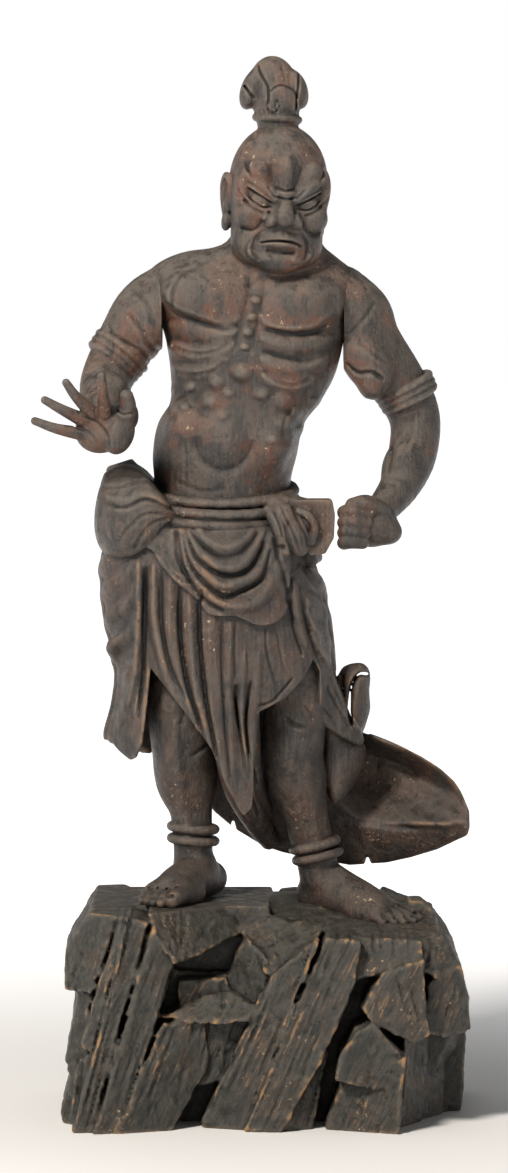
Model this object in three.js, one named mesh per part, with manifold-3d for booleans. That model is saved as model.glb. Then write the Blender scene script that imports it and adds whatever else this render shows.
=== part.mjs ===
// Nio guardian statue: a joined-block carved wooden figure with separate arm blocks, on a rock-shaped plinth.
// Millimetres. +Z is up, the statue faces -Y, and +X is at the viewer's right. The plinth stands on z = 0.
import * as THREE from "three";
import { ConvexGeometry } from "three/addons/geometries/ConvexGeometry.js";
import { LoftGeometry } from "three/addons/geometries/LoftGeometry.js";
import { mergeVertices } from "three/addons/utils/BufferGeometryUtils.js";
import Module from "manifold-3d";

const wasm = await Module();
wasm.setup();

// Driving sizes of the whole statue
const PLINTH_TOP = 214;
const PLINTH_DEPTH = 296;
const PLINTH_CENTRE_Y = -8;
const ROCK_SLANT = 27;
const BLOCK_BACK = 30;
const BACK_CRYSTALS = 8;
const LEDGE_PITCH = 7;
const LEDGE_ROLL = 4;
const ARM_SEAM = 90;
const SEAM_GAP = 0.3;
const FAR = 600;

// Driving sizes of the figure
const HEAD_X = 24.5;
const FACE_X = 34;
const NECK_X = 25;
const SKIRT_FOLD = 5;
const SKIRT_SIDES = 30;
const CLOTH_THICK = 12;
const SKIRT_LINING = 470;
const SKIRT_Y = 2;
const APRON_DEPTH = 84;
const APRON_SWELL = 9;
const TOE_COUNT = 5;

const DOWN = new THREE.Vector3(0, 0, -1);
const FRONT = new THREE.Vector3(0, -1, 0);
const RIGHT = new THREE.Vector3(1, 0, 0);
const radians = THREE.MathUtils.degToRad;

// Solids and booleans

// Only positions and faces are kept, so that vertices that differ in normal or uv are merged
function solid(geometry) {
  const bare = new THREE.BufferGeometry();
  bare.setIndex(geometry.index);
  bare.setAttribute("position", geometry.getAttribute("position"));
  const merged = mergeVertices(bare, 1e-3);
  return new wasm.Manifold(
    new wasm.Mesh({
      numProp: 3,
      vertProperties: new Float32Array(merged.attributes.position.array),
      triVerts: new Uint32Array(merged.index.array),
    }),
  );
}

function join(pieces) {
  return pieces.reduce((whole, piece) => whole.add(piece));
}

// The outer skin alone, so that small hollows shut in by a join are filled with wood
function filled(body) {
  return body.decompose().reduce((kept, piece) => (piece.volume() > kept.volume() ? piece : kept));
}

// Vectors of smoothly interpolated stations, each [x, y, z, half width, half depth]
function sampleStations(stations, count) {
  const centres = stations.map((s) => new THREE.Vector3(s[0], s[1], s[2]));
  const radii = stations.map((s) => new THREE.Vector3(s[3], s[4] ?? s[3], 0));
  const path = new THREE.CatmullRomCurve3(centres, false, "centripetal");
  const sizes = new THREE.CatmullRomCurve3(radii, false, "centripetal");
  return Array.from({ length: count }, (_, i) => {
    const t = i / (count - 1);
    const size = sizes.getPoint(t);
    return { at: path.getPoint(t), along: path.getTangent(t), wide: size.x, deep: size.y };
  });
}

function ring(centre, u, v, sides) {
  return Array.from({ length: sides }, (_, i) => {
    const angle = (i / sides) * 2 * Math.PI;
    return centre.clone().addScaledVector(u, Math.cos(angle)).addScaledVector(v, Math.sin(angle));
  });
}

// A limb: oval sections square to a smooth path. The half depth lies along the facing direction. The ends are
// rounded, unless they are sunk in another piece and left blunt.
function limb(stations, { sides = 6, rings, facing = FRONT, blunt = false } = {}) {
  const samples = sampleStations(stations, rings ?? stations.length);
  const sectionAt = (s, shift, shrink) => {
    const u = new THREE.Vector3().crossVectors(s.along, facing).normalize();
    const v = new THREE.Vector3().crossVectors(s.along, u).normalize();
    const centre = s.at.clone().addScaledVector(s.along, shift * Math.min(s.wide, s.deep));
    return ring(centre, u.multiplyScalar(s.wide * shrink), v.multiplyScalar(s.deep * shrink), sides);
  };
  const sections = samples.map((s) => sectionAt(s, 0, 1));
  if (!blunt) {
    sections.unshift(sectionAt(samples[0], -0.7, 0.55));
    sections.push(sectionAt(samples[samples.length - 1], 0.7, 0.55));
  }
  return solid(new LoftGeometry(sections, { capStart: true, capEnd: true }));
}

// A trunk: level oval rings, given from the bottom up
function trunk(stations, sides, rings) {
  const sections = sampleStations(stations, rings).map((s) =>
    ring(s.at, new THREE.Vector3(s.wide, 0, 0), new THREE.Vector3(0, s.deep, 0), sides),
  );
  return solid(new LoftGeometry(sections, { capStart: true, capEnd: true }));
}

// An egg-shaped mass, turned by tilt degrees in the frontal plane
function mass(centre, radii, tilt = 0, sides = 7) {
  const egg = new THREE.SphereGeometry(1, sides, Math.max(3, Math.round(sides * 0.55)));
  egg.rotateX(Math.PI / 2);
  egg.scale(...radii);
  egg.rotateY(-radians(tilt));
  egg.translate(...centre);
  return solid(egg);
}

function block(centre, size) {
  const box = new THREE.BoxGeometry(...size);
  box.translate(...centre);
  return solid(box);
}

// A carved band around a limb, square to the direction along
function band(centre, radius, thick, along) {
  const torus = new THREE.TorusGeometry(radius, thick, 3, 9);
  const turn = new THREE.Quaternion().setFromUnitVectors(
    new THREE.Vector3(0, 0, 1),
    along.clone().normalize(),
  );
  torus.applyQuaternion(turn);
  torus.translate(...centre);
  return solid(torus);
}

function interpolate(table, x) {
  if (x <= table[0][0]) return table[0][1];
  const last = table[table.length - 1];
  if (x >= last[0]) return last[1];
  const i = table.findIndex((row) => row[0] > x) - 1;
  const share = (x - table[i][0]) / (table[i + 1][0] - table[i][0]);
  return THREE.MathUtils.lerp(table[i][1], table[i + 1][1], share);
}

// Head

// The face is turned a little to the viewer's right, so its middle line is at FACE_X
function onFace(aside, forward, z) {
  return [FACE_X + aside, forward, z];
}

function head() {
  const skull = trunk(
    [
      [FACE_X - 6, -42, 839, 12, 13],
      [HEAD_X + 4, -34, 848, 30, 33],
      [HEAD_X + 1, -28, 864, 41, 44],
      [HEAD_X, -24, 884, 45, 50],
      [HEAD_X, -20, 908, 46, 53],
      [HEAD_X, -18, 936, 46.5, 55],
      [HEAD_X - 0.5, -16, 956, 45, 54],
      [HEAD_X - 1, -14, 974, 36, 43],
      [HEAD_X - 2, -12, 988, 16, 20],
    ],
    12,
    7,
  );
  const brows = [
    [[-10, -72, 931], [-27, -69, 942], [-46, -50, 936]],
    [[10, -72, 931], [23, -65, 941], [36, -48, 934]],
  ].map(([inner, middle, outer]) =>
    limb([[...onFace(...inner), 6, 6], [...onFace(...middle), 9, 8], [...onFace(...outer), 6, 6]], {
      sides: 5,
      blunt: true,
    }),
  );
  const lump = mass(onFace(2, -70, 944), [8, 8, 16], 0, 6);
  const eyes = [
    mass(onFace(-20, -64, 917), [12, 8, 6], 8, 6),
    mass(onFace(20, -60, 914), [11, 8, 6], -8, 6),
  ];
  const cheeks = [
    mass(onFace(-35, -52, 894), [15, 17, 18], 0, 6),
    mass(onFace(29, -48, 892), [13, 16, 17], 0, 6),
  ];
  const folds = [-1, 1].map((side) =>
    limb(
      [
        [...onFace(side * 13, -73, 891), 4, 5],
        [...onFace(side * 23, -66, 877), 5, 6],
        [...onFace(side * 24, -54, 860), 4, 5],
      ],
      { sides: 5, blunt: true },
    ),
  );
  const nose = [
    limb([
      [...onFace(0, -72, 926), 6, 6],
      [...onFace(0, -80, 910), 7, 7],
      [...onFace(-1, -85, 897), 9, 8],
    ]),
    mass(onFace(-1, -78, 891), [16, 9, 6], 0, 6),
  ];
  const mouth = [
    limb(
      [[...onFace(-18, -68, 867), 3, 4], [...onFace(0, -78, 875), 5, 6], [...onFace(19, -65, 865), 3, 4]],
      { sides: 5, rings: 4 },
    ),
    mass(onFace(1, -74, 864), [14, 8, 4], 0, 6),
    mass(onFace(-3, -66, 850), [18, 11, 9], 0, 7),
  ];
  const ears = [
    [HEAD_X - 49, -6, 918, -6],
    [HEAD_X + 48, -4, 915, 5],
  ].flatMap(([x, y, z, lean]) => [
    mass([x, y, z], [7, 13, 24], lean, 6),
    mass([x, y - 2, z - 26], [5, 7, 9], 0, 5),
  ]);
  return [skull, ...brows, lump, ...eyes, ...cheeks, ...folds, ...nose, ...mouth, ...ears];
}

function topknot() {
  const centreX = 20;
  const tie = band([centreX + 3, -15, 992], 21, 5, new THREE.Vector3(0.05, 0, 1));
  const dome = mass([centreX, -15, 1022], [23, 20, 33], 0, 9);
  const loops = [
    ...[-1, 1].map((side) =>
      limb([
        [centreX + side * 20, -15, 999, 5, 9],
        [centreX + side * 29, -15, 1018, 7, 11],
        [centreX + side * 17, -15, 1039, 8, 12],
      ]),
    ),
    mass([centreX + 13, -32, 1012], [12, 9, 14], 0, 6),
    mass([centreX - 3, -34, 1004], [6, 6, 10], 0, 5),
  ];
  return [tie, dome, ...loops];
}

// Trunk of the body

function torso() {
  const core = trunk(
    [
      [-34, 4, 570, 74, 60],
      [-31, 0, 625, 68, 56],
      [-28, -2, 660, 71, 58],
      [-20, -2, 690, 73, 58],
      [-6, 0, 712, 74, 58],
      [0, 2, 740, 82, 62],
      [2, 4, 775, 89, 66],
      [0, 6, 810, 96, 64],
      [0, 10, 838, 94, 54],
      [8, 8, 855, 74, 46],
      [NECK_X - 4, 4, 870, 50, 42],
      [NECK_X, -6, 900, 38, 34],
    ],
    14,
    9,
  );
  const muscles = [
    mass([-44, -40, 812], [44, 32, 27], -4),
    mass([46, -38, 802], [42, 32, 29], 6),
    mass([-64, 6, 836], [46, 36, 22], 12, 7),
    mass([68, 6, 834], [42, 36, 22], -14, 7),
    mass([-33, -44, 669], [29, 26, 27], 0),
    mass([-62, -34, 692], [24, 24, 22], 24),
    mass([8, -36, 684], [24, 26, 30], -24),
    mass([-12, -44, 714], [34, 20, 16]),
    mass([-46, 34, 800], [38, 34, 46], -10, 6),
    mass([48, 34, 796], [38, 34, 46], 10, 6),
  ];
  const ribs = [-1, 1].flatMap((side) =>
    [0, 1, 2].map((i) =>
      limb(
        [
          [side * 12 + 2, -57, 777 - 20 * i, 6, 5],
          [side * 40 + 2, -56, 780 - 19 * i, 8, 7],
          [side * (72 - 5 * i) + 3 * i, -30, 788 - 18 * i, 6, 7],
        ],
        { sides: 4, blunt: true },
      ),
    ),
  );
  const beads = [
    [3, 812, 7],
    [-1, 793, 6.5],
    [-5, 779, 6],
    [-8, 766, 6],
    [-11, 743, 12],
  ].map(([x, z, size]) => mass([x, -64, z], [size, 8, size], 0, 5));
  const knots = [
    [-52, 731, 13],
    [-42, 714, 11],
    [-68, 711, 12],
    [28, 722, 12],
    [46, 706, 11],
    [56, 740, 12],
  ].map(([x, z, size]) => {
    const y = 4 - 60 * Math.sqrt(1 - ((x + 2) / 80) ** 2);
    return mass([x, y, z], [size, 10, size * 0.75], 0, 5);
  });
  return [core, ...muscles, ...ribs, ...beads, ...knots];
}

// Arms

function rightArm() {
  const upper = limb(
    [
      [-88, 6, 816, 33, 40],
      [-102, 5, 804, 33, 37],
      [-118, 3, 782, 31, 33],
      [-134, 0, 758, 28, 28],
      [-144, -6, 738, 26, 26],
      [-147, -26, 724, 27, 24],
      [-148, -56, 708, 22, 20],
      [-148, -84, 698, 17, 15],
    ],
    { sides: 8, rings: 7, facing: RIGHT },
  );
  const muscles = [mass([-102, -16, 790], [22, 24, 34], -30), mass([-96, -6, 776], [16, 22, 20])];
  const alongArm = new THREE.Vector3(-0.62, -0.15, -0.78);
  const bands = [0, 8].map((step) =>
    band([-131 - step * 0.62, 1, 763 - step * 0.78], 27, 4.5, alongArm),
  );
  const palm = [
    mass([-148, -96, 690], [29, 13, 27], 20),
    mass([-130, -102, 684], [16, 13, 22], -20, 6),
  ];
  const fingers = [
    [[-156, -104, 706], [-171, -112, 724], [-184, -116, 738]],
    [[-166, -102, 698], [-186, -109, 710], [-205, -112, 722]],
    [[-170, -100, 684], [-194, -105, 692], [-216, -106, 699]],
    [[-146, -108, 704], [-145, -122, 726], [-147, -130, 746]],
  ].map(([base, middle, tip]) =>
    limb([[...base, 8], [...middle, 5.5], [...tip, 3.5]], { sides: 5, rings: 3, facing: RIGHT }),
  );
  const thumb = limb([[-128, -106, 690, 9], [-121, -112, 708, 8], [-122, -116, 722, 6]], {
    sides: 5,
    rings: 3,
    facing: RIGHT,
  });
  const whole = join([upper, ...muscles, ...bands, ...palm, ...fingers, thumb]);
  return whole.subtract(block([FAR / 2 - ARM_SEAM - SEAM_GAP, 0, 800], [FAR, FAR, FAR]));
}

function leftArm() {
  const upper = limb(
    [
      [86, 8, 812, 36, 40],
      [98, 9, 800, 35, 37],
      [118, 12, 768, 31, 33],
      [141, 18, 736, 29, 29],
      [158, 24, 708, 26, 26],
      [163, 24, 684, 24, 25],
      [158, 12, 654, 24, 24],
      [146, -8, 628, 19, 20],
      [128, -30, 608, 15, 17],
    ],
    { sides: 8, rings: 8 },
  );
  const biceps = mass([114, -4, 752], [24, 24, 34], 35);
  const alongArm = new THREE.Vector3(0.45, 0.12, -0.88);
  const bands = [0, 9].map((step) =>
    band([151 + step * 0.45, 21, 727 - step * 0.88], 27, 4.5, alongArm),
  );
  const hand = mass([118, -44, 592], [24, 22, 22], 10, 7);
  const knuckles = [0, 1, 2, 3].map((i) =>
    limb(
      [[112 - i * 2, -62, 604 - i * 10, 7], [96 - i, -66, 605 - i * 10, 7.5], [89, -50, 603 - i * 10, 6.5]],
      { sides: 5, rings: 3, facing: DOWN },
    ),
  );
  const heel = mass([130, -46, 586], [17, 17, 13], -20, 6);
  const whole = join([upper, biceps, ...bands, hand, ...knuckles, heel]);
  return whole.subtract(block([ARM_SEAM + SEAM_GAP - FAR / 2, 0, 1000], [FAR, FAR, FAR]));
}

// Skirt, apron, belt and hip cloth

// The skirt's edges at each level, [z, x]
const SKIRT_LEFT = [
  [340, -142], [382, -147], [435, -133], [455, -143], [487, -152], [517, -156], [585, -150],
];
const SKIRT_RIGHT = [
  [400, 84], [453, 81], [464, 81], [480, 77], [492, 78], [519, 71], [559, 57], [612, 42],
];
// The hems, [turn, z]. Turns run from the viewer's right, 0, round the back to the viewer's left, 0.5.
const SKIRT_HEM = [
  [0, 450], [0.06, 420], [0.14, 380], [0.25, 360], [0.36, 352], [0.44, 350], [0.5, 352], [0.545, 349],
  [0.58, 352], [0.6, 366], [0.61, 436], [0.64, 424], [0.68, 396], [0.72, 362], [0.755, 335], [0.785, 334],
  [0.81, 352],
  [0.825, 398], [0.86, 412], [0.9, 436], [0.94, 450], [1, 450],
];
const APRON_HEM = [
  [0, 555], [0.1, 545], [0.25, 530], [0.4, 536], [0.5, 556], [0.6, 566], [0.64, 560], [0.66, 536], [0.7, 510],
  [0.75, 496], [0.8, 489], [0.84, 494], [0.87, 512], [0.9, 548], [1, 555],
];

function cloth(hemTable, { top, swell, fold, folds, rows, depth }) {
  const sections = [];
  const pointAt = (turn, z, share, thin) => {
    const left = interpolate(SKIRT_LEFT, z);
    const right = interpolate(SKIRT_RIGHT, z);
    const waist = THREE.MathUtils.smoothstep(share, 0, 0.22);
    const half = (right - left) / 2;
    const wide = THREE.MathUtils.lerp(74, half, waist) + swell - thin;
    const deep = THREE.MathUtils.lerp(62, depth, waist) + swell - thin;
    const angle = turn * 2 * Math.PI;
    const pleat = Math.sin(folds * angle + 1.3 * Math.sin(3 * angle) + share * 2.2);
    const ridge = fold * waist * (0.35 + share) * (1 - 2 * Math.abs(pleat)) * (thin ? 0 : 1);
    const centreX = THREE.MathUtils.lerp(-33, (left + right) / 2, waist);
    return new THREE.Vector3(
      centreX + (wide + ridge) * Math.cos(angle),
      SKIRT_Y + (deep + ridge) * Math.sin(angle),
      z,
    );
  };
  for (let row = rows; row >= 0; row -= 1) {
    const share = row / rows;
    sections.push(
      Array.from({ length: SKIRT_SIDES }, (_, i) => {
        const turn = i / SKIRT_SIDES;
        return pointAt(turn, THREE.MathUtils.lerp(top, interpolate(hemTable, turn), share), share, 0);
      }),
    );
  }
  const hem = Array.from({ length: SKIRT_SIDES }, (_, i) => {
    const turn = i / SKIRT_SIDES;
    return pointAt(turn, interpolate(hemTable, turn) - 1, 1, CLOTH_THICK);
  });
  return { hem, outside: solid(new LoftGeometry([hem, ...sections], { capStart: true, capEnd: true })) };
}

// What is carved away under a hem, up to the level given
function underside(hem, level) {
  const rings = [-FAR / 10, 10].map((rise) => hem.map((p) => new THREE.Vector3(p.x, p.y, p.z + rise)));
  rings.push(hem.map((p) => new THREE.Vector3(p.x * 0.9, p.y * 0.9, level)));
  return solid(new LoftGeometry(rings, { capStart: true, capEnd: true }));
}

// How far forward the apron's face is at x and z
function apronFront(x, z) {
  const left = interpolate(SKIRT_LEFT, z);
  const right = interpolate(SKIRT_RIGHT, z);
  const across = (x - (left + right) / 2) / ((right - left) / 2 + APRON_SWELL);
  return SKIRT_Y - (APRON_DEPTH + APRON_SWELL) * Math.sqrt(Math.max(0, 1 - across ** 2));
}

function drapery() {
  const skirt = cloth(SKIRT_HEM, { top: 606, swell: 0, fold: SKIRT_FOLD, folds: 9, rows: 4, depth: 86 });
  const hollowSkirt = skirt.outside.subtract(underside(skirt.hem, SKIRT_LINING));
  const apron = cloth(APRON_HEM, {
    top: 604,
    swell: APRON_SWELL,
    fold: 3,
    folds: 5,
    rows: 2,
    depth: APRON_DEPTH,
  });
  const hipFlap = limb([[-106, 10, 622, 26, 44], [-124, 8, 600, 30, 52], [-128, 4, 578, 30, 54]], {
    sides: 7,
    rings: 4,
  });
  const swags = [
    [[-98, 572], [-60, 545], [-24, 552], [20, 592]],
    [[-84, 548], [-50, 522], [-18, 530], [26, 578]],
    [[-64, 528], [-28, 503], [6, 512], [34, 550]],
    [[-44, 576], [-24, 570], [-4, 576], [24, 604]],
  ].map((points) =>
    limb(
      points.map(([x, z], i) => [x, apronFront(x, z) + (i % 3 ? 1 : 5), z, i % 3 ? 7 : 4]),
      { sides: 4, rings: 4, blunt: true },
    ),
  );
  const belt = [0, 1].map((row) => {
    const torus = new THREE.TorusGeometry(1, 0.085, 3, 14);
    torus.scale(71 + 3 * row, 61 + 3 * row, 70);
    torus.rotateX(radians(9));
    torus.translate(-31, 0, 620 - 13 * row);
    return solid(torus);
  });
  const hipCloth = [
    limb([[40, -36, 612, 16, 18], [60, -40, 602, 18, 18], [68, -42, 574, 13, 16]], { sides: 7 }),
    mass([38, -58, 592], [16, 16, 22], 10, 10),
    limb([[30, -66, 598, 6], [38, -74, 574, 7], [48, -68, 566, 6], [52, -62, 588, 6]], { rings: 6 }),
  ];
  return [hollowSkirt, apron.outside, hipFlap, ...swags, ...belt, ...hipCloth];
}

// A thick curved sheet of cloth blown out behind the legs. Each station is the sheet's top and bottom edges,
// [x, y, z], and how far its middle is blown back.
function tail() {
  const stations = [
    [[-66, 40, 400], [-46, 52, 296], 16],
    [[-30, 40, 440], [-14, 56, 268], 24],
    [[20, 44, 450], [30, 62, 250], 34],
    [[70, 44, 440], [84, 60, 238], 40],
    [[112, 40, 388], [124, 54, 240], 42],
    [[150, 34, 366], [160, 42, 246], 38],
    [[184, 26, 348], [188, 30, 256], 28],
    [[206, 18, 328], [208, 20, 270], 16],
    [[218, 14, 306], [219, 14, 284], 4],
  ];
  const rows = 6;
  const sections = stations.map(([top, bottom, blown]) => {
    const front = [];
    const back = [];
    for (let i = 0; i < rows; i += 1) {
      const t = i / (rows - 1);
      const x = THREE.MathUtils.lerp(top[0], bottom[0], t);
      const z = THREE.MathUtils.lerp(top[2], bottom[2], t);
      const y = THREE.MathUtils.lerp(top[1], bottom[1], t) + blown * Math.sin(Math.PI * t);
      front.push(new THREE.Vector3(x, y - CLOTH_THICK / 2, z));
      back.push(new THREE.Vector3(x, y + CLOTH_THICK / 2, z));
    }
    return [...front, ...back.reverse()];
  });
  const sheet = solid(new LoftGeometry(sections, { capStart: true, capEnd: true }));
  const curl = limb(
    [[84, 34, 398, 13, 16], [98, 28, 424, 14, 16], [110, 22, 440, 10, 12]],
    { sides: 7, rings: 4 },
  );
  const centreDrape = limb(
    [[-30, -44, 420, 34, 16], [-18, -26, 356, 34, 15], [0, 44, 288, 40, 12]],
    { sides: 7, rings: 3, blunt: true },
  );
  return [sheet, curl, centreDrape];
}

// Legs and feet

function leg(calfStations, ankle, heel, toes, tilt) {
  const calf = limb(calfStations, { sides: 7, rings: 5 });
  const bands = [0, 11].map((rise) =>
    band([ankle[0], ankle[1], ankle[2] + 22 + rise], 21, 4.5, new THREE.Vector3(tilt, 0, 1)),
  );
  const forward = new THREE.Vector3(toes[0] - heel[0], toes[1] - heel[1], 0).normalize();
  const across = new THREE.Vector3(forward.y, -forward.x, 0);
  const at = (point, ahead, aside, z) => [
    point[0] + forward.x * ahead + across.x * aside,
    point[1] + forward.y * ahead + across.y * aside,
    z,
  ];
  const sole = heel[2];
  const slope = (toes[2] - heel[2]) / Math.hypot(toes[0] - heel[0], toes[1] - heel[1]);
  const foot = limb(
    [
      [...at(heel, 0, 0, sole + 17), 18, 17],
      [...at(heel, 38, 0, sole + 23 + slope * 38), 21, 23],
      [...at(heel, 76, 0, sole + 15 + slope * 76), 25, 15],
      [...at(heel, 92, 0, sole + 11 + slope * 92), 24, 11],
    ],
    { sides: 7, rings: 4, facing: DOWN },
  );
  const instep = limb([[...ankle, 19, 19], [...at(heel, 46, 0, sole + 26 + slope * 46), 18, 14]], {
    sides: 6,
    blunt: true,
  });
  const toeSolids = Array.from({ length: TOE_COUNT }, (_, i) => {
    const aside = (i - 2) * 10.5;
    const reach = 112 - Math.abs(i - 1) * 3;
    const size = i === 0 ? 7.5 : 6;
    const base = at(heel, 88, aside, sole + 9 + slope * 88);
    const joint = at(heel, reach, aside, sole + 7 + slope * reach);
    const tip = at(heel, reach + 5, aside, sole + 5 + slope * reach);
    const stations = [[...base, size], [...joint, size], [...tip, size * 0.6]];
    return limb(stations, { sides: 5, facing: DOWN, blunt: true });
  });
  const floor = new THREE.BoxGeometry(FAR, FAR, 60);
  floor.translate(0, 0, -30);
  floor.applyQuaternion(
    new THREE.Quaternion().setFromUnitVectors(
      new THREE.Vector3(0, 0, 1),
      new THREE.Vector3(-forward.x * slope, -forward.y * slope, 1).normalize(),
    ),
  );
  floor.translate(heel[0], heel[1], sole);
  const flatFoot = join([foot, instep, ...toeSolids]).subtract(solid(floor));
  return [calf, ...bands, flatFoot];
}

const RIGHT_HEEL = [-44, 26, PLINTH_TOP];
const RIGHT_TOES = [-102, -78, PLINTH_TOP];
const LEFT_HEEL = [62, 16, PLINTH_TOP - 13];
const LEFT_TOES = [154, -50, PLINTH_TOP - 22];

function legs() {
  return [
    ...leg(
      [
        [-62, 0, 470, 40, 42],
        [-70, -8, 400, 35, 38],
        [-69, -2, 352, 28, 31],
        [-62, 6, 300, 20.5, 22],
        [-60, 8, 252, 18.5, 20],
      ],
      [-60, 8, 248],
      RIGHT_HEEL,
      RIGHT_TOES,
      0,
    ),
    ...leg(
      [
        [22, -6, 480, 42, 42],
        [40, -16, 420, 32, 36],
        [40, -12, 352, 31, 32],
        [54, 0, 298, 22, 24],
        [64, 8, 250, 19, 20],
      ],
      [68, 8, 236],
      LEFT_HEEL,
      LEFT_TOES,
      0.2,
    ),
  ];
}

// Plinth

// The front of the rock is a stack of leaning blocks. Each is the corners of its face, [x, z] clockwise, the
// depth of the face's middle, and how much deeper the face gets for each mm across and each mm up.
const ROCK_BLOCKS = [
  [[[-188, 134], [-184, 190], [-159, PLINTH_TOP], [-126, PLINTH_TOP], [-158, 134]], -114, -0.9, 0.05],
  [[[-176, 142], [-158, 142], [-162, 64], [-188, 60]], -92, -0.9, 0],
  [[[-182, 60], [-150, 80], [-158, 0], [-192, 0]], -100, -1.2, 0],
  [[[-133, PLINTH_TOP], [-120, PLINTH_TOP], [-150, 76], [-168, 84]], -137, -0.35, 0.03],
  [[[-124, PLINTH_TOP], [-102, 206], [-158, 0], [-178, 0]], -137, 0.1, 0],
  [[[-98, 203], [-77, 166], [-130, 0], [-158, 0]], -138, 0.25, 0],
  [[[-88, 106], [-48, 110], [-44, 62], [-79, 0], [-136, 0]], -124, 0.4, 0],
  [[[-104, PLINTH_TOP], [-29, PLINTH_TOP], [-4, 190], [-66, 167], [-79, 165]], -102, 0.9, 0.9],
  [[[-74, 144], [-26, 148], [-20, 120], [-74, 112]], -94, 0.1, 0],
  [[[-90, 111], [-28, 136], [6, 120], [-2, 108], [-50, 104]], -118, -0.1, 0.9],
  [[[-52, 108], [6, 116], [-22, 50], [-60, 40]], -104, 0.1, 0],
  [[[-30, 136], [-6, 188], [22, 160], [6, 118]], -96, -0.8, 0.1],
  [[[-28, 213], [25, 212], [82, 206], [36, 150], [14, 152]], -82, -0.3, 1.2],
  [[[16, 152], [68, 196], [-4, 0], [-52, 0]], -124, -0.35, 0.05],
  [[[76, 204], [108, 202], [100, 146], [68, 72], [28, 0], [-10, 0]], -134, -0.1, 0.06],
  [[[56, 76], [74, 76], [58, 0], [16, 0]], -120, 0.5, 0],
  [[[104, 202], [164, 200], [166, 160], [96, 147]], -118, -0.05, 0.4],
  [[[126, 158], [167, 168], [172, 96], [158, 88], [118, 107], [106, 122]], -134, 0.05, 0.12],
  [[[86, 76], [100, 102], [117, 108], [147, 74], [140, 44], [116, 41], [81, 54]], -143, 0.05, 0.05],
  [[[88, 50], [150, 77], [144, 0], [70, 0]], -136, -0.4, 0],
  [[[160, 196], [184, 205], [196, 200], [206, 158], [184, 148], [168, 154]], -94, 0.5, 0.4],
  [[[170, 141], [184, 151], [206, 160], [214, 136], [216, 96], [188, 88], [172, 94]], -102, 0.35, 0.05],
  [[[150, 92], [176, 96], [168, 0], [140, 0]], -86, 1.8, 0],
  [[[174, 96], [192, 94], [190, 0], [166, 0]], -40, 1.6, 0],
  [[[190, 98], [216, 98], [210, 0], [188, 0]], 2, 1.8, 0],
];

function leaningBlock([corners, forward, turn, lean]) {
  const middleX = corners.reduce((sum, [x]) => sum + x, 0) / corners.length;
  const middleZ = corners.reduce((sum, [, z]) => sum + z, 0) / corners.length;
  const front = corners.map(
    ([x, z]) => new THREE.Vector3(x, forward + turn * (x - middleX) + lean * (z - middleZ), z),
  );
  const back = corners.map(([x, z]) => new THREE.Vector3(x, BLOCK_BACK, z));
  return solid(new ConvexGeometry([...front, ...back]));
}

// A rock crystal: a slanted prism whose top centre is at x, y and z. Below, it runs on through the underside.
function crystal(x, y, z, radius, sides, turn) {
  const length = 1.6 * PLINTH_TOP;
  const prism = new THREE.CylinderGeometry(radius, radius * 1.12, length, sides);
  prism.rotateX(Math.PI / 2);
  prism.rotateZ(radians(turn));
  prism.translate(0, 0, -length / 2);
  prism.rotateY(radians(ROCK_SLANT));
  prism.translate(x, y, z);
  return solid(prism);
}

function plinth() {
  const silhouette = new THREE.Shape(
    [
      [-189, 0], [-190, 14], [-179, 50], [-186, 58], [-175, 130], [-186, 134], [-184, 178],
      [-160, PLINTH_TOP], [168, PLINTH_TOP], [179, 205], [184, 190], [198, 174], [206, 154], [213, 126],
      [214, 84], [209, 0],
    ].map((p) => new THREE.Vector2(...p)),
  );
  const outline = new THREE.ExtrudeGeometry(silhouette, { depth: PLINTH_DEPTH, bevelEnabled: false });
  outline.rotateX(Math.PI / 2);
  outline.translate(0, PLINTH_CENTRE_Y + PLINTH_DEPTH / 2, 0);
  const back = PLINTH_CENTRE_Y + PLINTH_DEPTH / 2;
  const core = [
    block([0, 20, 75], [320, 176, 150]),
    block([-70, 26, PLINTH_TOP / 2], [180, 164, PLINTH_TOP]),
    block([95, 6, PLINTH_TOP / 2], [152, 124, PLINTH_TOP]),
  ];
  const crystals = [
    [-130, 0, PLINTH_TOP, 54, 6, 20],
    [206, 6, 190, 56, 6, 12],
    [236, 40, 150, 54, 5, 30],
  ];
  for (let i = 0; i < BACK_CRYSTALS; i += 1) {
    const step = i % 2;
    const y = back - 44 - 8 * (i % 3);
    crystals.push([-120 + i * 48, y, PLINTH_TOP - 6 - 16 * step - 2 * i, 46, 5 + step, 25 * i]);
  }
  // What is carved away over the lower, sloping ledge under the left foot
  const ledge = new THREE.BoxGeometry(200, 300, 60);
  ledge.rotateX(radians(LEDGE_PITCH));
  ledge.rotateY(radians(LEDGE_ROLL));
  ledge.translate(118, -44, PLINTH_TOP + 14);
  const peak = leaningBlock([[[150, 180], [156, PLINTH_TOP], [174, PLINTH_TOP], [186, 180]], -18, 0, 0.1]);
  const cluster = join([...core, ...crystals.map((c) => crystal(...c)), ...ROCK_BLOCKS.map(leaningBlock)]);
  return cluster.subtract(solid(ledge)).add(peak).intersect(solid(outline));
}

// Scene graph: one mesh for each physical piece

const LACQUERED_WOOD = { color: 0x3d3934, roughness: 0.62, metalness: 0 };
const ROCK_WOOD = { color: 0x45413a, roughness: 0.75, metalness: 0 };

function geometryOf(body) {
  const { vertProperties, triVerts } = body.getMesh();
  const geometry = new THREE.BufferGeometry();
  geometry.setAttribute("position", new THREE.BufferAttribute(vertProperties, 3));
  geometry.setIndex(new THREE.BufferAttribute(triVerts, 1));
  return geometry;
}

function meshOf(name, body, finish) {
  const geometry = geometryOf(filled(body));
  geometry.computeVertexNormals();
  const mesh = new THREE.Mesh(geometry, new THREE.MeshStandardMaterial(finish));
  mesh.name = name;
  return mesh;
}

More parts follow.
